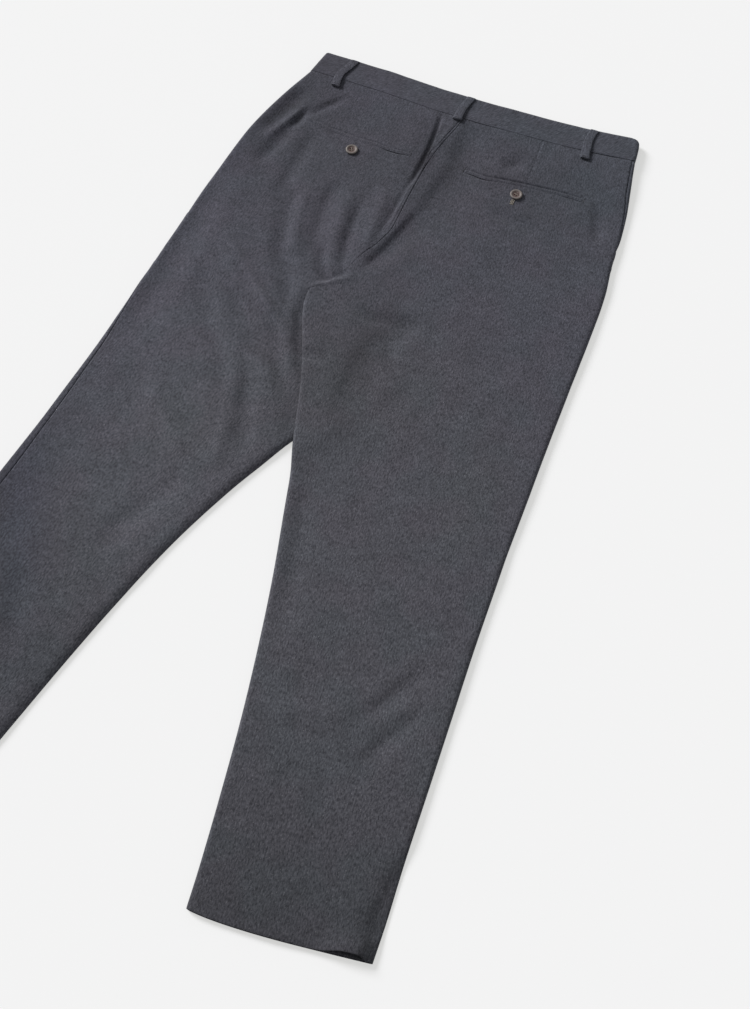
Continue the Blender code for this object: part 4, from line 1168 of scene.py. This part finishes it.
def hem_ring(leg):
    """The turned-up end of a leg, a flat ring inside the tube."""
    rows = spaced([(leg.last + HEM_DEPTH, 0.3), (leg.last + 0.5, 0.1), (leg.last + HEM_SETBACK, 0.1)])
    inset = sizes().cloth / MM + HEM_PLY_GAP
    reaches = np.array([-0.5, -0.25, 0.0, 0.25, 0.5, 0.8])
    inner_reaches = (-INSEAM_REACH, *reaches, TOP_REACH)
    columns = [leg.at_edge(rows, "inner", np.full_like(rows, reach), inset) for reach in inner_reaches]
    columns += [leg.across_top(rows, 1.0 - share, inset) for share in np.linspace(0.0, 1.0, 50)[1:-1]]
    outer_reaches = (TOP_REACH, *reaches[::-1])
    columns += [leg.at_edge(rows, "outer", np.full_like(rows, reach), inset) for reach in outer_reaches]
    columns += [leg.across_bottom(rows, share, inset) for share in np.linspace(0.0, 1.0, 24)]
    return grid_of(columns)


def fly_shield_places(leg):
    """A flat strip inside the closed centre-front opening."""
    rows = spaced([(leg.first, 0.5), (leg.first - FLY_LENGTH, 0.5)])
    inset = sizes().cloth / MM + PLY_GAP
    columns = []
    for share in np.linspace(0.0, 1.0, 12):
        x = np.full_like(rows, CENTRE_FRONT + FLY_PAST_CENTRE - FLY_WIDTH * share)
        columns.append((x, leg.y_of(rows, x) - 0.03, leg.bottom(rows, x) + inset))
    return grid_of(columns)


BAND_SEAM_ROLL = 0.35
BAND_TOP_ROLL = 0.9
UNDER_EDGE = 0.6  # how strongly the waistband's edges roll on the front, next to the back


def band_edge(share, seam=1.0):
    """How far the waistband's two long edges roll down."""
    from_seam, from_top = share * BAND_HEIGHT, (1.0 - share) * BAND_HEIGHT
    return BAND_SEAM_ROLL * seam * hump(from_seam, 0.06) + BAND_TOP_ROLL * hump(from_top, 0.11)


def band_top(x, share):
    """Height of the waistband's outer face on the back."""
    y = waist_line(x) - BAND_HEIGHT * (1.0 - share)
    waves = unevenness(x, y * 2.0, 5, widest=8.0, narrowest=1.6, height=0.30)
    return BAND_TOP - band_edge(share, seam_wobble(x)) + waves * (1 - hump(share, 0.2))


def waistband(side):
    """Half of the waistband: from centre back over the top, round the side fold and back to centre front."""
    middle_shares = np.linspace(0.90, 0.10, 17)
    share = np.array([1.0, 0.992, 0.98, 0.965, 0.94, *middle_shares, 0.06, 0.035, 0.02, 0.008, 0.0])
    end = column_of(BAND_ENDS, "left" if side < 0 else "right")(share)
    centre_back = LEGS["right"].inner(-3.4) + side * SEAM_GAP / 2
    last = CENTRE_FRONT + (LAP if side < 0 else 0.0)
    columns = []
    for place in np.linspace(0.0, 1.0, 100)[:-1]:
        x = mix(centre_back, end - side * BAND_SWELL, place)
        columns.append((x, band_top(x, share)))
    for place in np.linspace(1.0, -1.0, 17):
        angle = place * math.pi / 2
        depth = BAND_SWELL * (1.0 - math.cos(angle))
        x = end - side * depth
        high = band_top(x, share)
        low = BAND_BASE + band_edge(share) * UNDER_EDGE
        z = (high + low) / 2 + (high - low) / 2 * math.sin(angle)
        columns.append((x, z))
    for place in np.linspace(0.0, 1.0, 90)[1:]:
        x = mix(end - side * BAND_SWELL, last, place)
        lapped = (sizes().band_cloth / MM + PLY_GAP) * (1.0 - ramp(x, *LAP_RAMP)) if side > 0 else 0.0
        columns.append((x, BAND_BASE + lapped + band_edge(share) * UNDER_EDGE))
    return grid_of((x, waist_line(x) - BAND_HEIGHT * (1.0 - share), z + 0.0 * x) for x, z in columns)


def loop_middle(loop, along):
    """Place across of a belt loop's middle line, at shares of its length."""
    return SmoothLine(np.linspace(0.0, 1.0, len(loop.middle)), loop.middle)(along)


def loop_places(loop, turns, on_back):
    """A belt loop, as a strip that follows its turns and is a little hollow across."""
    share = SmoothLine(np.arange(len(turns)), [t.share for t in turns])
    out = SmoothLine(np.arange(len(turns)), [t.out for t in turns])
    step = np.linspace(0, len(turns) - 1, 5 * len(turns))
    along, height = share(step), out(step)
    centre = loop_middle(loop, along)
    columns = []
    for across in LOOP_COLUMNS:
        x = centre + across * LOOP_WIDTH * (1.0 - LOOP_TAPER * hump(1.0 - along, 0.035))
        y = waist_line(centre) - along * loop.length
        crown = LOOP_CROWN * (1.0 - (2.0 * across) ** 2)
        rolled = (0.9 if across < 0 else 0.3) * hump(0.5 - abs(across), 0.03)
        tilt = 1.0 - LOOP_TILT * (1.0 - 2.0 * across) / 2
        lift = LOOP_FLAT + (height - LOOP_FLAT) * tilt if on_back else height
        lift = np.where(height > LOOP_FLAT, lift, height)
        z = BAND_TOP + lift + crown - rolled if on_back else np.maximum(height - crown * 0.3, 0.0)
        columns.append(np.stack([x, y, z + 0.0 * x], axis=-1))
    return np.stack(columns, axis=1)


# Height of a jet's face above the panel, at shares of the way down from the mouth.
JET_RISE = (
    (0.0, -0.45), (0.04, 0.15), (0.10, 0.42), (0.2, 0.55), (0.4, 0.55),
    (0.65, 0.34), (0.85, 0.12), (0.95, 0.0), (1.0, -0.15),
)
JET_BELOW_MOUTH = 0.06
JET_END_DIP = 0.25  # its two ends go this far into the panel


def jet_places(side):
    """The jet of a back pocket: a narrow folded strip. Its upper edge is the mouth, its lower edge a seam."""
    points = MOUTHS[side]
    line = mouth_line(side)
    x = np.linspace(points[0].x, points[-1].x, 180)
    rows = []
    full = 1.0 if side == "right" else 0.75
    inner, outer = sorted((points[0].x, points[-1].x))
    ends = ramp(x, inner - 0.05, inner + 0.35) * (1.0 - ramp(x, outer - 0.35, outer + 0.05))
    for down, height in JET_RISE:
        y = line(x) - JET_BELOW_MOUTH - down * JET_HEIGHT
        uneven = unevenness(x, y * 0.0, 33, widest=5.0, narrowest=1.5, height=0.10)
        z = back_height(x, y) + (height * full + uneven) * ends - JET_END_DIP * (1.0 - ends)
        rows.append(np.stack([x, y, z], axis=-1))
    return np.stack(rows, axis=0)


# --- Thread ---


def stitch_row(bm, path, length, pitch, thick):
    """Adds stitches to a bmesh along a path of places (x, y in centimetres, height in millimetres)."""
    places = np.asarray(path) * (CM, CM, MM) + (*ORIGIN, 0.0)
    steps = np.linalg.norm(np.diff(places, axis=0), axis=1)
    total = np.concatenate([[0.0], np.cumsum(steps)])
    count = int(total[-1] // pitch)
    for i in range(count):
        ends = [(i + 0.5) * pitch - length / 2, (i + 0.5) * pitch + length / 2]
        a, b = (Vector([np.interp(end, total, places[:, axis]) for axis in range(3)]) for end in ends)
        lay_stitch(bm, a, b, thick)


def lay_stitch(bm, start, end, thick):
    """Adds one stitch, a long grain between two places."""
    run = end - start
    turn = run.to_track_quat("X", "Z").to_matrix().to_4x4()
    size = Matrix.Diagonal((run.length / 2, thick / 2, thick / 2, 1.0))
    matrix = Matrix.Translation((start + end) / 2) @ turn @ size
    bmesh.ops.create_icosphere(bm, subdivisions=1, radius=1.0, matrix=matrix)


def finish_thread(name, bm, material):
    """Makes a piece of the stitches in a bmesh."""
    mesh = bpy.data.meshes.new(name)
    bm.to_mesh(mesh)
    bm.free()
    return link_piece(name, mesh, material)


def dark_thread():
    """The thread of the seams."""
    return shared_material("tonal_thread", sewing_thread, tuple(colours().tonal_thread))


def pale_thread():
    """The thread of the buttons."""
    return shared_material("button_thread", sewing_thread, tuple(colours().button_thread))


def raised(x, y, height):
    """Places on the back, a little above it."""
    x, y = np.asarray(x, float), np.asarray(y, float)
    return np.stack([x, y, back_height(x, y) + height], axis=-1)


# --- Buttons ---

# Profile of a button, from its middle over the rim to the underside: shares of its radius and thickness.
Turned = namedtuple("Turned", "out up")
BUTTON_PROFILE = rows_of(Turned, [
    (0.0, 0.66),
    (0.50, 0.66),
    (0.60, 0.72),
    (0.68, 0.90),
    (0.76, 0.99),
    (0.86, 1.0),
    (0.95, 0.90),
    (1.0, 0.68),
    (0.97, 0.42),
    (0.86, 0.18),
    (0.65, 0.04),
    (0.0, 0.0),
])
HOLE_PLACE = 0.2  # of a button's diameter, between neighbouring holes' middles
HOLE_SIZE = 0.1
BUTTON_STEPS = 56
BUTTON_TURNS = {"left": 0.5, "right": 1.2, "waist": 0.3}  # radians that each is turned by
BUTTON_SINK = 0.1  # millimetres that a button sinks into the cloth
THREAD_TOP = 0.72  # of a button's thickness
THREAD_SPREAD = 0.3  # millimetres from the middle of a pair of holes
THREAD_THICK = 0.5
# The loose thread end under the right pocket's button: its path, and each strand's shift and thickness.
LOOSE_THREAD = ((9.72, -13.4), (9.62, -13.75), (9.74, -14.05), (9.66, -14.35))
LOOSE_STRANDS = ((0.0, 1.1), (0.17, 0.9), (-0.15, 0.9))


def button_mesh(name, middle, diameter, thickness, face_up, turn):
    """A turned button with four holes. Its UV map is the place from its middle."""
    bm = bmesh.new()
    radius = diameter / 2
    last = None
    for point in BUTTON_PROFILE:
        vertex = bm.verts.new((point.out * radius, 0.0, point.up * thickness))
        if last:
            bm.edges.new((last, vertex))
        last = vertex
    bmesh.ops.spin(
        bm,
        geom=bm.verts[:] + bm.edges[:],
        cent=(0.0, 0.0, 0.0),
        axis=(0.0, 0.0, 1.0),
        angle=2 * math.pi,
        steps=BUTTON_STEPS,
        use_merge=True,
    )
    bmesh.ops.remove_doubles(bm, verts=bm.verts, dist=0.00001)
    bmesh.ops.recalc_face_normals(bm, faces=bm.faces)
    body = bpy.data.meshes.new(name)
    bm.to_mesh(body)
    bm.free()
    drill = bmesh.new()
    for x, y in hole_places(diameter):
        matrix = Matrix.Translation((x, y, thickness / 2))
        hole = HOLE_SIZE * diameter / 2
        bmesh.ops.create_cone(
            drill, cap_ends=True, segments=14, radius1=hole, radius2=hole, depth=3 * thickness, matrix=matrix
        )
    drilled = bore(name, body, drill)
    bm = bmesh.new()
    bm.from_mesh(drilled)
    layer = bm.loops.layers.uv.new("grain")
    for face in bm.faces:
        for loop in face.loops:
            loop[layer].uv = loop.vert.co.xy
    if not face_up:
        over = Matrix.Rotation(math.pi, 3, "X")
        bmesh.ops.rotate(bm, verts=bm.verts, cent=(0, 0, thickness / 2), matrix=over)
    bmesh.ops.rotate(bm, verts=bm.verts, cent=(0, 0, 0), matrix=Matrix.Rotation(turn, 3, "Z"))
    bmesh.ops.translate(bm, verts=bm.verts, vec=middle)
    bm.to_mesh(drilled)
    bm.free()
    return drilled


def hole_places(diameter):
    """Places of a button's four holes, from its middle."""
    half = HOLE_PLACE * diameter / 2
    return [(sx * half, sy * half) for sx in (-1, 1) for sy in (-1, 1)]


def bore(name, body, drill):
    """The body with the drill's shape cut out."""
    scene = bpy.context.scene.collection
    cutter_mesh = bpy.data.meshes.new("drill")
    drill.to_mesh(cutter_mesh)
    drill.free()
    blank = bpy.data.objects.new("blank", body)
    cutter = bpy.data.objects.new("drill", cutter_mesh)
    for item in (blank, cutter):
        scene.objects.link(item)
    boolean = blank.modifiers.new("holes", "BOOLEAN")
    boolean.operation = "DIFFERENCE"
    boolean.solver = "EXACT"
    boolean.object = cutter
    depsgraph = bpy.context.evaluated_depsgraph_get()
    cut = bpy.data.meshes.new_from_object(blank.evaluated_get(depsgraph))
    cut.name = name
    for item in (blank, cutter):
        bpy.data.objects.remove(item)
    return cut


# --- Properties and operators ---


def size_property(name, description, millimetres):
    """A size that the panel shows."""
    return bpy.props.FloatProperty(
        name=name, description=description, default=millimetres * MM, min=0.1 * MM, unit="LENGTH"
    )


class ChinosSizes(bpy.types.PropertyGroup):
    """Thicknesses of the cloth, and sizes of the stitches and buttons"""

    cloth: size_property("Cloth", "Thickness of the leg panels", 1.1)
    inner_cloth: size_property("Inner cloth", "Thickness of facings and hems", 0.8)
    band_cloth: size_property("Waistband", "Thickness of the stiffened waistband", 1.9)
    loop_cloth: size_property("Belt loops", "Thickness of the belt loops", 1.3)
    jet_cloth: size_property("Pocket jets", "Thickness of the back pockets' jets", 0.6)
    stitch: size_property("Stitch", "Length of one stitch", 2.4)
    stitch_pitch: size_property("Stitch pitch", "Distance from stitch to stitch", 3.3)
    thread: size_property("Thread", "Thickness of the thread", 0.35)
    pocket_button: size_property("Pocket button", "Diameter of the back pockets' buttons", 15.0)
    waist_button: size_property("Waist button", "Diameter of the waistband's button", 17.0)


def colour_property(name, description, default):
    """A colour that the panel shows."""
    return bpy.props.FloatVectorProperty(
        name=name, description=description, default=default, size=3, min=0.0, max=1.0, subtype="COLOR"
    )


class ChinosColours(bpy.types.PropertyGroup):
    """Colours of the cloth, the thread, the buttons and the surface"""

    dark_fibre: colour_property("Dark fibre", "The melange's dark yarns", (0.024, 0.0245, 0.032))
    light_fibre: colour_property("Light fibre", "The melange's pale yarns", (0.077, 0.078, 0.094))
    fleck: colour_property("Fleck", "Single bright fibres", (0.215, 0.212, 0.235))
    warm_cast: colour_property("Warm cast", "Tint of the purplish patches", (1.02, 0.985, 1.0))
    cool_cast: colour_property("Cool cast", "Tint of the greenish patches", (0.975, 1.0, 1.0))
    seat_cast: colour_property("Seat cast", "Tint of the seat, a little bluer", (0.955, 0.948, 1.0))
    shin_cast: colour_property("Shin cast", "Tint of the lower legs", (0.97, 0.985, 0.955))
    tonal_thread: colour_property("Tonal thread", "Thread of the seams", (0.05, 0.05, 0.058))
    button_thread: colour_property("Button thread", "Thread of the buttons", (0.36, 0.32, 0.27))
    horn_rim: colour_property("Button rim", "Pale rim of the buttons", (0.128, 0.109, 0.101))
    horn_middle: colour_property("Button middle", "Middle of the buttons", (0.088, 0.056, 0.050))
    horn_dark: colour_property("Button streaks", "Dark streaks of the buttons", (0.055, 0.028, 0.022))
    surface: colour_property("Surface", "The surface that the garment lies on", (0.34, 0.34, 0.356))


class PieceOperator:
    """What the operators share."""

    bl_options = {"REGISTER", "UNDO"}

    @staticmethod
    def sheet(name, places, thickness, cut=None, middle=4.0, grain=0.0, rests_on=()):
        """Makes a piece of cloth. Its outside looks away from the middle height."""
        piece = f"{name}_cloth"
        mesh = cloth_mesh(piece, places, middle, grain)
        made = link_piece(piece, mesh, cloth_material())
        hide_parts(name)
        thicken(made, thickness)


class CHINOS_OT_backs(PieceOperator, bpy.types.Operator):
    """Make the two back panels with their creases"""

    bl_idname = "chinos.backs"
    bl_label = "Back panels"

    def execute(self, context):
        for side, leg in LEGS.items():
            thickness, grain = sizes().cloth, LEG_GRAIN[side]
            self.sheet(f"back_{side}", back_panel(leg), thickness, grain=grain, rests_on=[f"front_{side}"])
        return {"FINISHED"}


class CHINOS_OT_fronts(PieceOperator, bpy.types.Operator):
    """Make the two front panels, which lie underneath"""

    bl_idname = "chinos.fronts"
    bl_label = "Front panels"

    def execute(self, context):
        for side, leg in LEGS.items():
            thickness, grain = sizes().cloth, LEG_GRAIN[side]
            rests_on = ["floor"] if side == "left" else ["floor", "back_left"]
            self.sheet(f"front_{side}", front_panel(leg), thickness, grain=grain, rests_on=rests_on)
        return {"FINISHED"}


class CHINOS_OT_inner_pieces(PieceOperator, bpy.types.Operator):
    """Make the slant pockets' facings, the fly shield and the turned-up hems"""

    bl_idname = "chinos.inner_pieces"
    bl_label = "Facings, fly shield and hems"

    def execute(self, context):
        thickness = sizes().inner_cloth
        for side, leg in LEGS.items():
            facing, hem = f"pocket_facing_{side}", f"hem_{side}"
            self.sheet(facing, pocket_facing(leg), thickness, rests_on=[f"front_{side}"])
            self.sheet(hem, hem_ring(leg), thickness, grain=LEG_GRAIN[side], rests_on=[f"front_{side}"])
        shield = fly_shield_places(LEGS["right"])
        self.sheet("fly_shield", shield, thickness, middle=9.0, rests_on=["front_left", "front_right"])
        return {"FINISHED"}


class CHINOS_OT_waistband(PieceOperator, bpy.types.Operator):
    """Make the two halves of the waistband"""

    bl_idname = "chinos.waistband"
    bl_label = "Waistband"

    def execute(self, context):
        for side, way in (("left", -1), ("right", 1)):
            name = f"waistband_{side}"
            rests_on = [f"back_{side}", f"front_{side}"]
            self.sheet(name, waistband(way), sizes().band_cloth, middle=6.2, grain=90.0, rests_on=rests_on)
        return {"FINISHED"}


class CHINOS_OT_belt_loops(PieceOperator, bpy.types.Operator):
    """Make the five belt loops"""

    bl_idname = "chinos.belt_loops"
    bl_label = "Belt loops"

    def execute(self, context):
        thickness, cut = sizes().loop_cloth, CUTS["loop"]
        for name, loop in BACK_LOOPS.items():
            places = loop_places(loop, LOOP_TURNS, on_back=True)
            self.sheet(name, places, thickness, cut, middle=10.0, rests_on=["waistband_right"])
        for name, loop in FRONT_LOOPS.items():
            places = loop_places(loop, FLAT_LOOP_TURNS, on_back=False)
            self.sheet(name, places, thickness, cut, middle=3.0, rests_on=["floor"])
        return {"FINISHED"}


class CHINOS_OT_back_pockets(PieceOperator, bpy.types.Operator):
    """Make the jets of the two back pockets"""

    bl_idname = "chinos.back_pockets"
    bl_label = "Back pockets"

    def execute(self, context):
        for side in LEGS:
            name = f"welt_{side}"
            self.sheet(name, jet_places(side), sizes().jet_cloth, middle=0.0, rests_on=[f"back_{side}"])
        return {"FINISHED"}


class CHINOS_OT_buttons(PieceOperator, bpy.types.Operator):
    """Make the two pocket buttons and the waist button, with their threads"""

    bl_idname = "chinos.buttons"
    bl_label = "Buttons"

    def execute(self, context):
        material = shared_material("corozo", horn)
        threads = bmesh.new()
        for side in LEGS:
            name, turn = f"button_pocket_{side}", BUTTON_TURNS[side]
            low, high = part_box(name)
            slip_x, slip_y = BUTTON_SLIP[side]
            x = (low.x + high.x) / 2 + slip_x * CM
            y = (low.y + high.y) / 2 + slip_y * CM
            ground = float(back_height((x - ORIGIN[0]) / CM, (y - ORIGIN[1]) / CM)) * MM
            middle = Vector((x, y, ground - BUTTON_SINK * MM))
            self.button(name, middle, sizes().pocket_button, high.z - low.z, True, turn, material)
            self.threads(threads, middle, sizes().pocket_button, high.z - low.z, turn)
        low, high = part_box("button_waist")
        middle = Vector(((low.x + high.x) / 2, (low.y + high.y) / 2, low.z))
        diameter, turn = sizes().waist_button, BUTTON_TURNS["waist"]
        self.button("button_waist", middle, diameter, high.z - low.z, False, turn, material)
        finish_thread("button_threads", threads, pale_thread())
        self.tack()
        return {"FINISHED"}

    @staticmethod
    def button(name, middle, diameter, thickness, face_up, turn, material):
        """Makes one button."""
        mesh = button_mesh(name, middle, diameter, thickness, face_up, turn)
        made = link_piece(f"{name}_turned", mesh, material)
        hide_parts(name)

    @staticmethod
    def threads(bm, middle, diameter, thickness, turn):
        """Two bars of thread through the holes, and the shank under the button."""
        spin = Matrix.Rotation(turn, 3, "Z")
        half = HOLE_PLACE * diameter / 2
        top = THREAD_TOP * thickness
        for sy in (-1, 1):
            for shift in (-THREAD_SPREAD, THREAD_SPREAD):
                a = spin @ Vector((-half, sy * half + shift * MM, top)) + middle
                b = spin @ Vector((half, sy * half + shift * MM, top)) + middle
                lay_stitch(bm, a, b, THREAD_THICK * MM)
        shank = Matrix.Translation(middle + Vector((0.0, 0.0, -0.2 * MM)))
        bmesh.ops.create_cone(
            bm, cap_ends=True, segments=12, radius1=1.4 * MM, radius2=1.2 * MM, depth=1.6 * MM, matrix=shank
        )

    @staticmethod
    def tack():
        """The loose thread end that hangs below the right pocket's button."""
        bm = bmesh.new()
        x, y = np.array(LOOSE_THREAD).T
        for shift, thick in LOOSE_STRANDS:
            path = raised(x + shift, y, 0.4)
            stitch_row(bm, path, length=2.8 * MM, pitch=2.2 * MM, thick=thick * MM)
        finish_thread("loose_thread", bm, pale_thread())


class CHINOS_OT_stitching(PieceOperator, bpy.types.Operator):
    """Make the visible stitches: hems, pocket ends and belt loops"""

    bl_idname = "chinos.stitching"
    bl_label = "Stitching"

    def execute(self, context):
        self.hems()
        self.tacks()
        return {"FINISHED"}

    @staticmethod
    def hems():
        """The line of stitches above each hem."""
        for side, leg in LEGS.items():
            bm = bmesh.new()
            at = np.full(60, leg.last + HEM_DEPTH)
            from_edge = leg.side * HEM_STITCH_START
            x = np.linspace(leg.inner(leg.last) + from_edge, leg.outer(leg.last) - from_edge, 60)
            path = np.stack([x, leg.y_of(at, x), leg.top(at, x) - 0.02], axis=-1)
            stitch_row(bm, path, sizes().stitch, sizes().stitch_pitch, sizes().thread)
            finish_thread(f"hem_stitches_{side}", bm, dark_thread())

    @staticmethod
    def tacks():
        """Short dense bars of thread at the pockets' ends and at the belt loops' ends."""
        bm = bmesh.new()
        thread = sizes().thread
        for side in LEGS:
            points = MOUTHS[side]
            for point in (points[0], points[-1]):
                y = np.linspace(point.y + 0.18, point.y - JET_HEIGHT - 0.22, 9)
                path = raised(np.full(9, point.x), y, 0.15)
                stitch_row(bm, path, length=0.7 * MM, pitch=0.55 * MM, thick=thread * 1.6)
        for loop in BACK_LOOPS.values():
            for share, height in ((0.07, 1.6), (0.93, 2.9)):
                middle = float(loop_middle(loop, share))
                x = np.linspace(middle - 0.42, middle + 0.42, 12)
                y = np.full(12, float(waist_line(middle)) - share * loop.length)
                path = np.stack([x, y, np.full(12, BAND_TOP + height)], axis=-1)
                stitch_row(bm, path, length=0.8 * MM, pitch=0.6 * MM, thick=thread)
        finish_thread("bar_tacks", bm, dark_thread())


SURFACE_DROP = 0.3 * MM  # the pale surface lies this far below the cloth
SURFACE_GLOW = 0.53
SUN_STRENGTH = 4.55
SUN_WIDTH = math.radians(20.0)
SUN_COLOUR = (1.0, 0.995, 0.985)
SUN_RAYS = (0.829, -0.330, -0.454)
SKY_COLOUR = (0.985, 0.993, 1.0)
SKY_STRENGTH = 0.42
CAMERA_VIEW = math.radians(38.0)  # over the picture's height
CAMERA_PLACE = (0.41045, -0.76111, 1.35979)  # from the middle of the garment, on the surface
CAMERA_LOOKS = (-0.1845075, 0.4483273, -0.8746197)
CAMERA_UP = (-0.3328603, 0.8088038, 0.4848096)


class CHINOS_OT_stage(bpy.types.Operator):
    """Make the pale surface, the light and the camera"""

    bl_idname = "chinos.stage"
    bl_label = "Surface, light and camera"
    bl_options = {"REGISTER", "UNDO"}

    def execute(self, context):
        scene = context.scene
        middle = (CAD_BOX[0] + CAD_BOX[1]) / 2
        bm = bmesh.new()
        bmesh.ops.create_grid(bm, x_segments=16, y_segments=16, size=20.0)
        bmesh.ops.translate(bm, verts=bm.verts, vec=(middle.x, middle.y, CAD_BOX[0].z - SURFACE_DROP))
        mesh = bpy.data.meshes.new("floor")
        bm.to_mesh(mesh)
        bm.free()
        mesh.materials.append(plain_surface("pale_surface", tuple(colours().surface), SURFACE_GLOW))
        floor = bpy.data.objects.new("floor", mesh)
        scene.collection.objects.link(floor)

        sun = bpy.data.lights.new("soft_sun", "SUN")
        sun.energy = SUN_STRENGTH
        sun.angle = SUN_WIDTH
        sun.color = SUN_COLOUR
        lamp = bpy.data.objects.new("soft_sun", sun)
        lamp.rotation_euler = Vector(SUN_RAYS).to_track_quat("-Z", "Y").to_euler()
        scene.collection.objects.link(lamp)

        world = bpy.data.worlds.new("studio")
        world.use_nodes = True
        background = world.node_tree.nodes["Background"]
        background.inputs["Color"].default_value = (*SKY_COLOUR, 1.0)
        background.inputs["Strength"].default_value = SKY_STRENGTH
        scene.world = world
        scene.view_settings.view_transform = "Standard"

        camera = bpy.data.cameras.new("camera")
        camera.sensor_width = 36.0
        camera.lens = camera.sensor_width / 2 / math.tan(CAMERA_VIEW / 2)
        eye = bpy.data.objects.new("camera", camera)
        back, up = -Vector(CAMERA_LOOKS).normalized(), Vector(CAMERA_UP)
        right = up.cross(back).normalized()
        turn = Matrix((right, back.cross(right), back)).transposed()
        place = middle * Vector((1, 1, 0)) + Vector(CAMERA_PLACE)
        eye.matrix_world = Matrix.Translation(place) @ turn.to_4x4()
        scene.collection.objects.link(eye)
        scene.camera = eye
        return {"FINISHED"}


OPERATORS = (
    CHINOS_OT_fronts,
    CHINOS_OT_inner_pieces,
    CHINOS_OT_backs,
    CHINOS_OT_waistband,
    CHINOS_OT_belt_loops,
    CHINOS_OT_back_pockets,
    CHINOS_OT_buttons,
    CHINOS_OT_stitching,
    CHINOS_OT_stage,
)


class CHINOS_PT_panel(bpy.types.Panel):
    """Lists the garment's pieces and their sizes"""

    bl_idname = "CHINOS_PT_panel"
    bl_label = "Chinos"
    bl_space_type = "VIEW_3D"
    bl_region_type = "UI"
    bl_category = "Chinos"

    def draw(self, context):
        for operator in OPERATORS:
            self.layout.operator(operator.bl_idname)
        for group in (context.scene.chinos_sizes, context.scene.chinos_colours):
            box = self.layout.box()
            for name in group.bl_rna.properties.keys():
                if name not in ("rna_type", "name"):
                    box.prop(group, name)


CLASSES = (ChinosSizes, ChinosColours, *OPERATORS, CHINOS_PT_panel)


def register():
    """Adds the panel, the operators and their properties to Blender."""
    for kind in CLASSES:
        bpy.utils.register_class(kind)
    bpy.types.Scene.chinos_sizes = bpy.props.PointerProperty(type=ChinosSizes)
    bpy.types.Scene.chinos_colours = bpy.props.PointerProperty(type=ChinosColours)


def unregister():
    """Takes them out again."""
    del bpy.types.Scene.chinos_colours
    del bpy.types.Scene.chinos_sizes
    for kind in reversed(CLASSES):
        bpy.utils.unregister_class(kind)


def main():
    """Makes every piece."""
    register()
    for operator in OPERATORS:
        _, step = operator.bl_idname.split(".")
        if getattr(bpy.ops.chinos, step)() != {"FINISHED"}:
            raise RuntimeError(f"{operator.bl_label} wasn't made")


if __name__ == "__main__":
    main()
